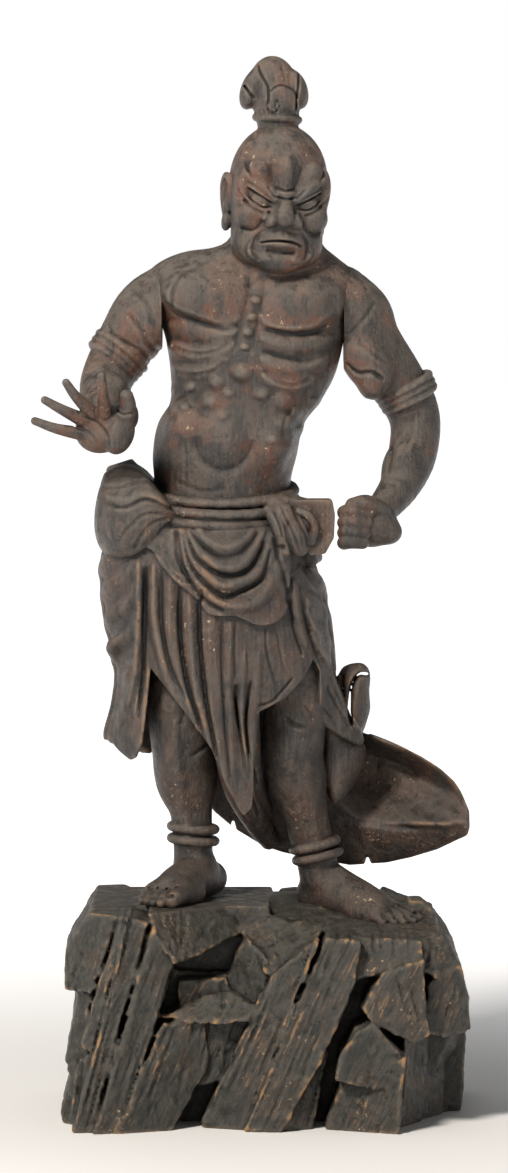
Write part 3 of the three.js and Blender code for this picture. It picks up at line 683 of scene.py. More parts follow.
# %% Shells of cloth
SKIRT_X, SKIRT_Y = -38, 2
SKIRT_WIDE, SKIRT_DEEP = 118, 86
SKIRT_TOP, SKIRT_FOOT = 606, 230
HIP_DEEP = 62
WAIST_SPAN = 50
CLOTH_THICK = 11
SKIRT_EDGES = [
    (606, -107, 41), (588, -138, 51), (562, -151, 59), (530, -152, 68), (500, -149, 76), (470, -142, 80),
    (440, -137, 82), (408, -141, 83), (382, -148, 83), (365, -145, 83), (340, -136, 83),
]


def shell(swell, deep):
    rows = []
    for z, left, right in SKIRT_EDGES:
        waist = min(1, max(0, (SKIRT_TOP - z) / WAIST_SPAN))
        depth = HIP_DEEP + (deep - HIP_DEEP) * waist * (2 - waist)
        rows.append([(left + right) / 2, SKIRT_Y, z, (right - left) / 2 + swell, depth + swell])
    rows.append([rows[-1][0], SKIRT_Y, SKIRT_FOOT, rows[-1][3], rows[-1][4]])
    return trunk(rows, 3)


def turn_round_skirt(x, y):
    return np.arctan2((y - SKIRT_Y) / SKIRT_DEEP, (x - SKIRT_X) / SKIRT_WIDE)


HEM_SLOPE = 0.8


def below_hem(table):
    turns, heights = np.array(table).T

    def distance(x, y, z):
        turn = turn_round_skirt(x, y) / (2 * math.pi) % 1
        return (z - np.interp(turn, turns, heights)).astype(np.float32) * HEM_SLOPE

    return Shape([-165, -102, 200], [120, 110, 620], distance)


PLEATS_TOP, PLEATS_FRONT = 600, -30
PLEATS_DEEPEN, PLEATS_FADE = 120, 26
PLEAT_TWIST, PLEAT_POWER, PLEAT_LIFT = 0.0022, 1.4, 0.35


def pleated(part, count, depth, phase):
    x, y, z = np.ix_(*part.lines)
    turn = turn_round_skirt(x, y)
    below = PLEATS_TOP - z
    drop = np.clip(below / PLEATS_DEEPEN, 0, 1)
    wave = np.abs(np.sin(count * turn / 2 + phase + 0.5 * np.sin(3 * turn) + below * PLEAT_TWIST))
    share = np.clip((y - PLEATS_FRONT) / PLEATS_FADE, 0, 1)
    part.field += (depth * (1 - wave) ** PLEAT_POWER - depth * PLEAT_LIFT) * drop * share


SKIRT_HEM = [
    (0, 450), (0.06, 420), (0.14, 380), (0.25, 360), (0.36, 356), (0.44, 370), (0.5, 378), (0.56, 372),
    (0.62, 351), (0.7, 320), (0.74, 298), (0.78, 298), (0.86, 360), (0.94, 430), (1, 450),
]

# %% Skirt
skirt = figure.blank((-165, -102, 286), (118, 106, 612))
skirt.add(shell(0, SKIRT_DEEP), 0)
skirt.cut(below_hem(SKIRT_HEM), 2)
pleated(skirt, 30, 6, 0)
folds = Relief((-170, 120), (290, 620), 0.6)
for x0, z0, x1, z1 in (
    (-120, 574, -154, 548), (-119, 560, -153, 522), (-119, 536, -150, 492), (-119, 508, -141, 464),
    (-122, 478, -136, 440),
):
    middle = ((x0 + x1) / 2 + 5, (z0 + z1) / 2 - 3)
    folds.lap([(x0, z0), middle, (x1 + 7, z1 + 6), (x1 - 4, z1)], 17, 3.4, 0.2, 5)
for x0, z0, x1, z1 in ((46, 552, 72, 520), (50, 530, 80, 492), (54, 508, 80, 466), (58, 486, 84, 446)):
    folds.lap([(x1 + 4, z1), ((x0 + x1) / 2, (z0 + z1) / 2 - 3), (x0, z0)], 13, 3.4, 0.2, 4)
draw(folds.ridge, 0.2, (
    (8, 3, [(-124, 450), (-128, 420), (-134, 390)]),
    (6, 4, [(-113, 560), (-114, 500), (-117, 450), (-124, 410)]),
    (7, 4, [(-98, 556), (-98, 500), (-88, 450), (-74, 418), (-66, 400)]),
    (9, 4, [(-82, 548), (-82, 490), (-72, 440), (-56, 396)]),
    (7, 4, [(-63, 530), (-62, 490), (-58, 440), (-46, 390), (-38, 350)]),
    (12, 3, [(-42, 512), (-41, 470), (-36, 410), (-30, 350), (-24, 316)]),
    (6, 2.6, [(-22, 500), (-24, 450), (-22, 400), (-18, 340)]),
    (5, 3, [(-8, 470), (-10, 430), (-11, 396), (-6, 350)]),
    (6, 3, [(6, 470), (4, 430), (0, 396), (-1, 350)]),
    (6, 4, [(40, 540), (46, 500), (53, 470)]),
    (5, 3, [(54, 520), (62, 486), (76, 448)]),
))
draw(folds.crease, 0.2, (
    (4.5, 6, [(-106, 552), (-107, 500), (-108, 450), (-114, 400)]),
    (4, 3.4, [(-90, 550), (-90, 500), (-82, 455), (-66, 420)]),
    (4.5, 6, [(-72, 534), (-72, 490), (-66, 440), (-52, 396), (-42, 360)]),
    (4.5, 6, [(-53, 520), (-52, 480), (-46, 420), (-38, 376), (-31, 340)]),
    (3, 2.6, [(-30, 500), (-31, 460), (-28, 400), (-22, 340)]),
    (2.6, 2, [(-17, 500), (-18, 470), (-17, 440)]),
    (3.4, 5, [(-16, 436), (-17, 420), (-14, 396), (-7, 350)]),
    (3, 4.4, [(-2, 440), (-5, 420), (-7, 396), (-3, 360)]),
    (2.6, 2.4, [(12, 492), (14, 466), (22, 436)]),
    (2.2, 1.6, [(24, 486), (28, 460), (34, 444)]),
    (3.4, 3.6, [(36, 520), (40, 490), (49, 462)]),
    (3, 3, [(50, 506), (58, 476), (68, 448)]),
    (3.4, 3.4, [(4, 414), (18, 418), (30, 430), (40, 442)]),
))
skirt.emboss(folds, -46, -10)
for top in (560, 534, 504, 472):
    drop = (560 - top) * 0.14
    skirt.add(limb([
        [-114, -66 + drop, top + 18, 3], [-139, -38, top, 6], [-147 + drop, -8, top - 15, 6],
        [-144 + drop, 30, top - 26, 4],
    ]), 8)
for top in (530, 500, 470):
    skirt.add(limb([[58, -38, top + 18, 3], [72 - (top - 470) * 0.1, -12, top, 6], [70, 24, top - 20, 4]]), 7)
HOLLOW_TOP = 470
skirt.cut(Shape([-165, -102, 200], [118, 106, HOLLOW_TOP], lambda x, y, z: np.maximum(
    shell(-CLOTH_THICK, SKIRT_DEEP).distance(x, y, z), z - HOLLOW_TOP)), 3)
skirt.cut(slab([
    (-175, 372), (-147, 376), (-134, 364), (-122, 357), (-115, 361), (-109, 377), (-104, 420), (-101, 450),
    (-88, 434), (-70, 412), (-41, 373), (-27, 338), (-14, 312), (-4, 300), (-4, 200), (-175, 200),
], -140, -6), 1.5)
skirt.cut(slab([
    (-3, 200), (-3, 300), (1, 330), (1, 358), (6, 408), (18, 414), (32, 421), (50, 440), (60, 458), (66, 446),
    (66, 380), (90, 300), (90, 200),
], -140, -16), 1.5)
figure.join(skirt, 1)

# %% Apron over the skirt
APRON_TOP, BELT_SLOPE = 603, 0.19
APRON_HEM = [
    (0, 556), (0.1, 545), (0.25, 530), (0.4, 548), (0.46, 602), (0.57, 602), (0.63, 560), (0.7, 480),
    (0.85, 480), (0.9, 548), (1, 556),
]
apron = figure.blank((-165, -106, 470), (90, 106, 622))
apron.add(shell(9, 84), 0)
apron.cut(below_hem(APRON_HEM), 3)
pleated(apron, 22, 4, 0.6)
apron_edge = smooth_rows([
    (-130, 574), (-112, 572), (-99, 567), (-90, 554), (-77, 540), (-54, 519), (-45, 506), (-29, 503),
    (-16, 503), (4, 494), (21, 496), (32, 506), (36, 522), (37, 552), (40, 600),
], 4).tolist()
apron.cut(slab([(-180, 574), *apron_edge, (90, 600), (90, 440), (-180, 440)], -140, -30), 2)
apron.cut(Shape([-165, -106, 560], [90, 106, 630], lambda x, y, z: APRON_TOP + BELT_SLOPE * y - z), 1.5)
cloth = Relief((-130, 60), (480, 625))
draw(cloth.ridge, 0.15, (
    (8, 4.5, [(-64, 590), (-52, 567), (-30, 552), (-8, 556), (12, 588)]),
    (9, 5, [(-68, 590), (-58, 560), (-32, 535), (-2, 541), (14, 560), (20, 590)]),
    (9, 5, [(-72, 590), (-66, 560), (-48, 530), (-22, 514), (8, 520), (26, 552), (26, 590)]),
    (7, 3, [(-56, 592), (-44, 578), (-28, 572), (-12, 576), (2, 590)]),
))
draw(cloth.crease, 0.12, (
    (5, 5, [(-66, 586), (-54, 560), (-30, 544), (-4, 549), (12, 578)]),
    (5, 6, [(-70, 586), (-60, 552), (-32, 523), (-14, 527), (8, 540), (18, 570)]),
    (5, 5, [(-74, 588), (-68, 552), (-50, 522), (-28, 508)]),
    (4, 3, [(-76, 588), (-74, 560), (-60, 534)]),
    (4, 3, [(-62, 588), (-46, 570), (-28, 562), (-8, 568), (6, 586)]),
    (5, 4, [(24, 590), (24, 566), (32, 536), (34, 514)]),
    (3, 4, [(-51, 531), (-50, 522), (-54, 514)]),
))
cloth.lap([(-58, 534), (-72, 538), (-84, 552), (-94, 566)], 12, 2.5)
cloth.lap([(-56, 544), (-66, 543), (-76, 548), (-84, 560)], 8, 2)
apron.emboss(cloth, -40, -16)
figure.join(apron, 0.8)

print("skirt and apron carved")

# %% [markdown]
# ## Belt, hip flap, knot and cloth end
# A belt of three rolled bands sags over the hips. Over the viewer's left hip a flap of the skirt is turned
# down like a bag, with creases that fan out of the knot of the belt. At the other hip the cloth is gathered
# into a bundle with a loop, and a stiff folded end stands out towards the fist.

# %% Belt
BAND_STEP, BAND_THICK = 10, 5.6
for row in range(3):
    centre = (-31 - 2 * row, 1, 624 - BAND_STEP * row)
    tilted = (0.02 * row, -BELT_SLOPE, 1)
    figure.add(ring(centre, [72 + 4.5 * row, 61 + 6.5 * row], BAND_THICK, tilted, 28), 1)

# %% Hip flap
FLAP_OUTLINE = [
    (-148, 642), (-153, 626), (-157, 606), (-158, 586), (-155, 571), (-147, 562), (-131, 559), (-118, 561),
    (-103, 569), (-88, 578), (-73, 597), (-84, 612), (-98, 632), (-112, 646), (-130, 650),
]
flap = figure.blank((-170, -100, 530), (-50, 90, 680))
flap.add(egg([-112, -17, 602], [50, 66, 66]), 0)
flap.add(egg([-106, 20, 620], [42, 42, 38]), 10)
x, y, z = np.ix_(*flap.lines)
flap.field = -soft_min(-flap.field, -slab(FLAP_OUTLINE, -140, 140, 3).distance(x, y, z), 5)
flap_folds = Relief((-175, -45), (530, 675), 0.6)
draw(flap_folds.crease, 0.3, (
    (3.5, 2.6, [(-78, 606), (-104, 618), (-124, 610), (-146, 612)]),
    (3, 2, [(-78, 602), (-104, 604), (-122, 590), (-136, 572)]),
    (3, 2, [(-76, 600), (-96, 596), (-110, 582), (-118, 566)]),
    (2.6, 1.6, [(-76, 598), (-88, 590), (-98, 576)]),
    (3, 1.6, [(-98, 634), (-116, 634), (-134, 628), (-152, 630)]),
))
flap_folds.ridge([(-80, 610), (-104, 624), (-126, 618), (-146, 620)], 7, 2.4)
flap.emboss(flap_folds, -10, 30)
figure.join(flap, 1)
figure.add(slab([(-147, 630), (-147, 646), (-122, 654), (-108, 640)], 18, 54), 3)

# %% Cloth end and knotted bundle
END_ROUNDING = 4
figure.add(limb([[20, -56, 612, 9], [36, -50, 611, 11], [50, -42, 606, 12]]), 3)
cloth_end = slab([
    (40, 612), (57, 613), (75, 613), (77, 602), (76, 580), (69, 567), (58, 566), (48, 584),
], -56, -28)
rounded_end = Shape(
    np.subtract(cloth_end.low, END_ROUNDING), np.add(cloth_end.high, END_ROUNDING),
    lambda x, y, z: cloth_end.distance(x, y, z) - END_ROUNDING,
)
figure.add(rounded_end, 2)
bundle = figure.blank((-10, -104, 540), (84, -20, 632))
bundle.add_eggs(2, (
    ([42, -60, 584], [14, 15, 24], 14),
    ([30, -62, 600], [14, 13, 14], -20),
    ([52, -54, 596], [9, 14, 16], 0),
))
bundle.add(limb([[46, -68, 606, 4], [54, -70, 602, 4.4], [61, -66, 590, 4.4], [58, -62, 576, 4.4]]), 1)
bundle.add(limb([[16, -64, 606, 6], [22, -70, 596, 6.4], [27, -72, 580, 6], [32, -70, 566, 5]]), 1.5)
bundle.cut(egg([26, -78, 569], [7, 8, 4], 20), 2)
bundle_folds = Relief((-10, 84), (540, 632), 0.6)
draw(bundle_folds.crease, 0.2, (
    (2.6, 2.6, [(28, 610), (34, 596), (42, 578), (46, 564)]),
    (2.6, 2.6, [(38, 612), (44, 598), (52, 582), (54, 570)]),
    (2.6, 2.6, [(20, 606), (26, 594), (30, 580)]),
))
bundle.emboss(bundle_folds, -60, -44)
figure.join(bundle, 1.5)
print("belt, flap and bundle carved")

# %% [markdown]
# ## Legs and feet
# The shins stand bare under the skirt, with rounded calves, two rings at each ankle and broad bare feet.
# Each leg is a limb with its muscles and creases. A foot is built along its own direction, heel to toes, so
# both use one function, and the soles rest on the rock.

# %% Legs
def leg(rows, muscles, x_range, creases, ridge):
    made = figure.blank(np.min(rows, 0)[:3] - 60, np.max(rows, 0)[:3] + 60)
    made.add(limb(rows, per_span=9), 0)
    made.add_eggs(8, muscles)
    lines = Relief(x_range, (220, 480))
    draw(lines.crease, 0.25, creases)
    lines.ridge(ridge, 9, 2.5)
    made.emboss(lines, -10, 6)
    figure.join(made, 2)


leg(
    [[-62, 0, 470, 38], [-70, -8, 410, 35], [-70, -6, 372, 32], [-68, 0, 340, 28], [-62, 6, 300, 21],
     [-60, 8, 262, 19.5], [-60, 8, 236, 20]],
    [([-72, 8, 350], [26, 28, 46], -6), ([-60, 8, 340], [24, 26, 40]), ([-72, -26, 410], [22, 18, 24])],
    (-110, -20),
    [(5, 3, [(-66, 412), (-70, 402), (-72, 392)]), (5, 3, [(-62, 360), (-50, 368), (-40, 376)])],
    [(-78, 400), (-76, 350), (-68, 300), (-64, 260)],
)
leg(
    [[22, -6, 480, 42], [38, -16, 430, 34], [42, -16, 396, 31], [40, -10, 352, 30], [52, 0, 300, 23],
     [62, 7, 262, 20.5], [67, 8, 236, 20]],
    [([36, 6, 350], [27, 27, 44], 10), ([50, 4, 340], [22, 24, 42], 8), ([44, -32, 410], [17, 14, 18]),
     ([50, -30, 396], [10, 12, 9])],
    (-20, 100),
    [(5, 3, [(32, 400), (42, 392), (54, 390)]), (4, 2, [(50, 412), (56, 406), (60, 396)])],
    [(50, 380), (54, 340), (62, 290), (68, 256)],
)


def foot(heel, toes, ankle, rings, tilt):
    heel, toes = np.array(heel, float), np.array(toes, float)
    run = toes - heel
    length = math.hypot(run[0], run[1])
    ahead = np.array([run[0], run[1], 0]) / length
    aside = np.array([ahead[1], -ahead[0], 0])
    slope = run[2] / length

    def at(forward, side, up):
        return heel + ahead * forward + aside * side + np.array([0, 0, up + slope * forward])

    made = figure.blank(np.minimum(heel, toes) - [34, 34, 30], np.maximum(heel, toes) + [34, 34, 80])
    made.add(limb([[*at(0, 0, 18), 18], [*at(26, 0, 20), 20], [*at(52, 2, 17), 21], [*at(76, 2, 11), 19]]), 0)
    made.add(limb([[*ankle, 19], [*at(22, 0, 32), 18], [*at(48, -2, 22), 16], [*at(74, -4, 14), 12]]), 7)
    made.add(limb([[*at(60, 12, 10), 13], [*at(84, 14, 9), 13]]), 5)
    made.add(limb([[*at(56, -14, 10), 12], [*at(84, -12, 9), 12]]), 5)
    for i, (reach, size) in enumerate(((112, 8.6), (115, 6.4), (112, 6), (107, 5.8), (100, 5.6))):
        side = -19 + i * 10
        root, joint, tip = at(80, side * 0.85, 10), at(reach - 14, side, 10), at(reach - 4, side, size * 0.75)
        made.add(limb([[*root, size], [*joint, size * 0.98], [*tip, size * 0.86]]), 1.8)
        nail = at(reach, side, size * 1.15)
        made.cut(egg(nail + [0, 0, 2.2], [size * 0.62, size * 0.62, 1.8]), 0.8)
    for i in range(4):
        made.cut(limb([[*at(78, -14 + i * 9.6, 21), 1], [*at(92, -14 + i * 10, 16), 1.6]]), 2)
    figure.join(made, 3)
    for centre in rings:
        figure.add(ring(centre, [22, 22], 4.8, (tilt, 0, 1)), 1)


foot([-44, 26, 214], [-102, -78, 214], [-60, 8, 248], ([-60, 8, 273], [-60, 7, 285]), 0.08)
foot([62, 16, 201], [154, -50, 192], [68, 8, 236], ([65, 6, 257], [62, 5, 268]), -0.24)
print("legs and feet carved")

# %% [markdown]
# ## The blown cloth behind the legs
# The back of the skirt is blown to the viewer's right in one big sweep. From the front it reads as a bowl: a
# lit rim on top, a deep dark hollow under it, a lip further down, and the underside that turns away below
# the lip. It is a sheet of even thickness whose depth follows that section from the rim to the lower edge.

# %% Tail
TAIL_OUTLINE = [
    (-72, 430), (-40, 452), (40, 462), (84, 440), (100, 396), (113, 379), (142, 368), (169, 356), (190, 344),
    (204, 331), (214, 316), (218, 300), (218, 284), (216, 276), (186, 259), (160, 250), (136, 244), (98, 241),
    (60, 248), (30, 254), (10, 261), (-19, 279), (-40, 297), (-60, 330),
]
TAIL_TOP = [(-72, 430), (-40, 452), (40, 462), (84, 440), (113, 379), (169, 356), (204, 331), (218, 304)]
TAIL_BOTTOM = [
    (-72, 330), (-40, 297), (-19, 279), (10, 261), (60, 248), (98, 241), (136, 244), (186, 259), (218, 280),
]
TAIL_DEPTHS = [
    (-72, 46, 14, 0), (-30, 50, 24, 4), (20, 50, 34, 10), (70, 46, 46, 14), (112, 38, 54, 22),
    (150, 28, 50, 26), (184, 20, 36, 22), (206, 14, 22, 12), (219, 12, 6, 2),
]
TAIL_LIP, TAIL_SLOPE = 0.66, 0.62


def tail_shape(thick):
    outline = slab(TAIL_OUTLINE, -200, 200)
    top = smooth_rows(TAIL_TOP, 6).T
    bottom = smooth_rows(TAIL_BOTTOM, 6).T
    rim, hollow, under = (smooth_rows(TAIL_DEPTHS, 6)[:, [0, n]].T for n in (1, 2, 3))

    def distance(x, y, z):
        high, low = np.interp(x, *top), np.interp(x, *bottom)
        t = np.clip((high - z) / (high - low), 0, 1)
        bowl = np.sin(math.pi * np.clip(t / TAIL_LIP, 0, 1) ** 0.7)
        turned = np.clip((t - TAIL_LIP) / (1 - TAIL_LIP), 0, 1) ** 1.2
        middle = np.interp(x, *rim) + np.interp(x, *hollow) * bowl + np.interp(x, *under) * turned
        sheet = (np.abs(y - middle) - thick / 2) * TAIL_SLOPE
        return -soft_min(-sheet, -outline.distance(x, y, z), 4).astype(np.float32)

    return Shape([-76, 0, 236], [222, 112, 466], distance)


tail = figure.blank((-90, -10, 230), (228, 106, 474))
tail.add(tail_shape(CLOTH_THICK + 1), 0)
sweep = Relief((-90, 230), (225, 475))
draw(sweep.ridge, 0.25, (
    (10, 3, [(110, 374), (140, 360), (168, 346), (196, 322)]),
    (10, 3, [(126, 340), (150, 330), (176, 312), (204, 296)]),
    (10, 3, [(130, 318), (144, 302), (166, 290), (200, 286)]),
))
draw(sweep.crease, 0.25, (
    (6, 3, [(-30, 330), (-8, 300), (20, 270)]),
    (6, 3, [(-16, 340), (6, 300), (30, 262)]),
    (6, 3, [(96, 292), (140, 284), (206, 284)]),
    (6, 3, [(118, 352), (146, 344), (170, 330)]),
))
for x, z in ((-19, 279), (14, 260), (117, 243)):
    sweep.crease([(x, z - 6), (x - 1, z + 7)], 2.2, 12, 0)
tail.emboss(sweep, 110, 111)
tail.field = box_blur(tail.field, 1)
figure.join(tail, 3)

# %% [markdown]
# ## Cloth beside and between the legs
# Between the knees the skirt falls in one narrow bundle that runs back into the tail. Beside the left leg it
# swings out in a pointed flap, with a rounded fold behind it and a scroll that stands up over the tail. Each
# of these is a piece of sheet: an outline seen from the front, and a depth that leans back to one side.

# %% Sheets of cloth
SHEET_SLOPE = 0.75


def leaning_sheet(outline, y_at, turn, thick, swell):
    drawn = slab(outline, -200, 200, 3)
    middle = (drawn.low[0] + drawn.high[0]) / 2
    half = (drawn.high[0] - drawn.low[0]) / 2

    def distance(x, y, z):
        bulge = swell * (1 - np.clip((x - middle) / half, -1, 1) ** 2)
        sheet = (np.abs(y - y_at - turn * (x - middle) + bulge) - thick / 2) * SHEET_SLOPE
        return -soft_min(-sheet, -drawn.distance(x, y, z), thick * 0.6).astype(np.float32)

    reach = abs(turn) * half + thick + swell
    low = [drawn.low[0], y_at - reach, drawn.low[2]]
    high = [drawn.high[0], y_at + reach, drawn.high[2]]
    return Shape(low, high, distance)


side_cloth = figure.blank((30, -60, 290), (130, 90, 530))
side_cloth.add(leaning_sheet([
    (84, 436), (90, 446), (100, 450), (110, 450), (117, 444), (119, 434), (118, 420), (119, 404), (116, 392),
    (110, 378), (98, 384), (88, 410),
], 26, 0.1, 26, 4), 0)
side_cloth.add(leaning_sheet([
    (68, 392), (84, 390), (104, 374), (114, 366), (113, 352), (106, 334), (94, 316), (82, 308), (74, 318),
    (68, 350),
], 20, 0.5, 26, 9), 1)
side_cloth.add(leaning_sheet([
    (48, 505), (60, 500), (70, 470), (86, 424), (100, 398), (112, 374), (107, 367), (96, 372), (80, 382),
    (67, 394), (62, 420), (56, 450), (48, 470),
], -12, 0.8, 12, 5), 1)
side_folds = Relief((30, 130), (290, 530), 0.6)
draw(side_folds.crease, 0.2, (
    (4, 10, [(116, 438), (106, 438), (99, 426), (97, 404), (99, 388)]),
    (3, 3, [(90, 438), (90, 424), (96, 400)]),
    (3, 2.4, [(70, 446), (76, 424), (90, 398), (98, 384)]),
    (3, 2, [(64, 430), (70, 410), (82, 392)]),
))
side_folds.ridge([(72, 464), (88, 420), (110, 378)], 3.5, 2, 0.1)
side_cloth.emboss(side_folds, 30, 50)
figure.join(side_cloth, 1)

figure.add(limb([
    [-28, -50, 420, 21], [-22, -42, 380, 19], [-14, -22, 330, 16], [4, 16, 290, 13], [16, 40, 268, 9],
], per_span=10), 4)
figure.add(limb([
    [-8, -54, 430, 14], [-6, -44, 390, 13], [-2, -20, 340, 12], [10, 20, 300, 11],
], per_span=10), 2)
fall = figure.blank((-50, -80, 260), (30, 60, 440))
x, y, z = np.ix_(*fall.lines)
fall.field[...] = figure.field[fall.cuts]
fall_folds = Relief((-50, 30), (250, 440), 0.6)
draw(fall_folds.crease, 0.15, (
    (3.4, 4.5, [(-17, 424), (-14, 396), (-8, 366), (-4, 330), (6, 296)]),
    (3, 4, [(-5, 420), (-6, 396), (-2, 360), (4, 330)]),
    (3, 3, [(-27, 400), (-24, 366), (-16, 330), (-4, 296)]),
))
fall.emboss(fall_folds, 30, 50)
figure.field[fall.cuts] = fall.field
print("tail and side cloth carved")

# %% [markdown]
# ## The arms
# Each arm is a block of its own, joined to the shoulder along a flat seam that still shows as a crack. The
# right hand is held out open, with bent fingers, and the left is a fist at the hip.

# %% Right arm
ARM_SEAM, SEAM_GAP = 90, 0.3
ARM_STEP, HAND_STEP = 1.4, 0.9
ARM_BAND_STEPS = (0, 7, 13)
FINGER_RADII = (7.2, 5.2, 4.0)


def arm_bands(arm, start, along, tilt):
    for step in ARM_BAND_STEPS:
        centre = [start[0] + step * along[0], start[1], start[2] + step * along[1]]
        arm.add(ring(centre, [28 - step * 0.1] * 2, 4.2, (along[0], tilt, along[1])), 1)


right_arm = Wood([
    grid_lines(-226, -84, ARM_STEP, -224, -112, HAND_STEP),
    grid_lines(-142, 56, ARM_STEP, -138, -80, HAND_STEP),
    grid_lines(656, 858, ARM_STEP, 660, 756, HAND_STEP),
])
right_arm.add(limb([
    [-84, 6, 814, 35.5], [-102, 5, 803, 34.5], [-118, 3, 782, 32], [-134, 0, 758, 28], [-144, -6, 738, 26],
    [-147, -26, 724, 25], [-148, -56, 708, 21], [-147, -80, 698, 17],
]), 0)
right_arm.add_eggs(7, (
    ([-102, -14, 792], [24, 24, 36], -30),
    ([-116, 4, 800], [22, 30, 30], -40),
    ([-112, -8, 774], [16, 22, 20], 0),
    ([-138, 10, 742], [20, 22, 24], -20),
    ([-142, -44, 722], [20, 22, 18], 0),
))
right_lines = Relief((-230, -80), (650, 860))
draw(right_lines.crease, 0.25, (
    (6, 3, [(-124, 800), (-112, 786), (-104, 770), (-92, 762)]),
    (5, 2.5, [(-150, 772), (-136, 776), (-120, 768), (-104, 758)]),
    (6, 2, [(-118, 822), (-104, 806), (-98, 786)]),
    (4, 2, [(-112, 762), (-102, 754), (-92, 750)]),
    (4, 2, [(-144, 790), (-138, 776), (-128, 766)]),
))
right_arm.emboss(right_lines, -4, 16)
arm_bands(right_arm, (-131, 1, 763), (-0.62, -0.78), -0.15)
right_arm.add(egg([-148, -92, 688], [27, 15, 24], 24), 6)
right_arm.add(egg([-131, -99, 683], [15, 14, 21], -18), 4)
right_arm.add(egg([-124, -86, 700], [12, 14, 16]), 5)
right_arm.cut(egg([-154, -113, 692], [13, 9, 12], 20), 7)
for joints in (
    ([-158, -101, 704], [-173, -113, 720], [-182, -116, 733]),
    ([-166, -99, 696], [-187, -110, 707], [-203, -112, 716]),
    ([-164, -97, 682], [-192, -106, 688], [-213, -106, 695.5]),
    ([-145, -104, 704], [-146, -120, 724], [-147, -125, 740]),
):
    right_arm.add(limb([[*joint, radius] for joint, radius in zip(joints, FINGER_RADII)]), 2.5)
right_arm.add(limb([[-128, -100, 690, 9.5], [-122, -108, 708, 8.2], [-123, -113, 720, 6.6]]), 3)
palm_lines = Relief((-230, -110), (655, 760), 0.5)
draw(palm_lines.crease, 0.25, (
    (3, 2, [(-166, 700), (-152, 694), (-142, 682), (-139, 668)]),
    (3, 1.8, [(-176, 690), (-160, 684), (-150, 672)]),
    (2.6, 2, [(-133, 706), (-126, 702), (-116, 704)]),
))
right_arm.emboss(palm_lines, -96, -84)
seam_block = [(-ARM_SEAM - SEAM_GAP, 600), (0, 600), (0, 900), (-ARM_SEAM - SEAM_GAP, 900)]
right_arm.cut(slab(seam_block, -150, 100), 0)

# %% Left arm
left_arm = Wood([
    grid_lines(84, 194, ARM_STEP, 80, 150, HAND_STEP),
    grid_lines(-76, 68, ARM_STEP, -74, -20, HAND_STEP),
    grid_lines(560, 850, ARM_STEP, 562, 640, HAND_STEP),
])
left_arm.add(limb([
    [84, 8, 812, 37], [98, 9, 800, 36], [118, 12, 768, 32], [141, 18, 736, 29], [158, 24, 708, 26.5],
    [163, 24, 684, 25], [158, 12, 654, 24], [146, -8, 628, 20], [130, -28, 608, 16],
]), 0)
left_arm.add_eggs(6, (
    ([114, -6, 752], [24, 26, 36], 35),
    ([112, 12, 800], [26, 30, 32], 34),
    ([118, -12, 728], [13, 17, 15], 30),
    ([162, 20, 676], [20, 24, 30], -8),
    ([148, 0, 650], [18, 20, 26], -20),
))
left_lines = Relief((80, 200), (550, 860))
draw(left_lines.crease, 0.25, (
    (5, 4, [(92, 752), (104, 742), (118, 742), (130, 734)]),
    (5, 2, [(100, 774), (118, 762), (134, 748)]),
    (6, 2, [(122, 812), (108, 792), (96, 780)]),
    (6, 3, [(142, 690), (140, 668), (134, 640)]),
    (4, 2, [(112, 714), (124, 712), (134, 718)]),
    (4, 1.6, [(160, 700), (158, 680), (150, 660)]),
))
left_arm.emboss(left_lines, 0, 20)
arm_bands(left_arm, (151, 21, 727), (0.45, -0.88), 0.12)
left_arm.add(egg([118, -42, 592], [25, 22, 23], 10), 5)
for finger in range(4):
    drop = finger * 10
    left_arm.add(limb([
        [114 - finger * 2, -62, 605 - drop, 7], [98 - finger, -67, 606 - drop, 7.4], [90, -56, 604 - drop, 7],
        [94, -44, 603 - drop, 6],
    ]), 1.4)
left_arm.add(limb([[128, -52, 606, 8], [112, -66, 614, 8], [98, -66, 612, 7]]), 2)
left_arm.add(egg([131, -44, 586], [17, 17, 14], -20), 4)
seam_block = [(ARM_SEAM + SEAM_GAP, 700), (ARM_SEAM + SEAM_GAP, 900), (0, 900), (0, 700)]
left_arm.cut(slab(seam_block, -150, 100), 0)
print("arms carved:", right_arm.field.shape, left_arm.field.shape)

# %% [markdown]
# ## The rock
# The plinth is wood cut to look like a cliff of leaning blocks and crystals. A block with flat faces is easy
# in distances: it is the largest of the distances to its planes. The front is built of blocks whose outline
# is given as seen from the front, with a face that may turn and lean, and the sides of slanted crystals.

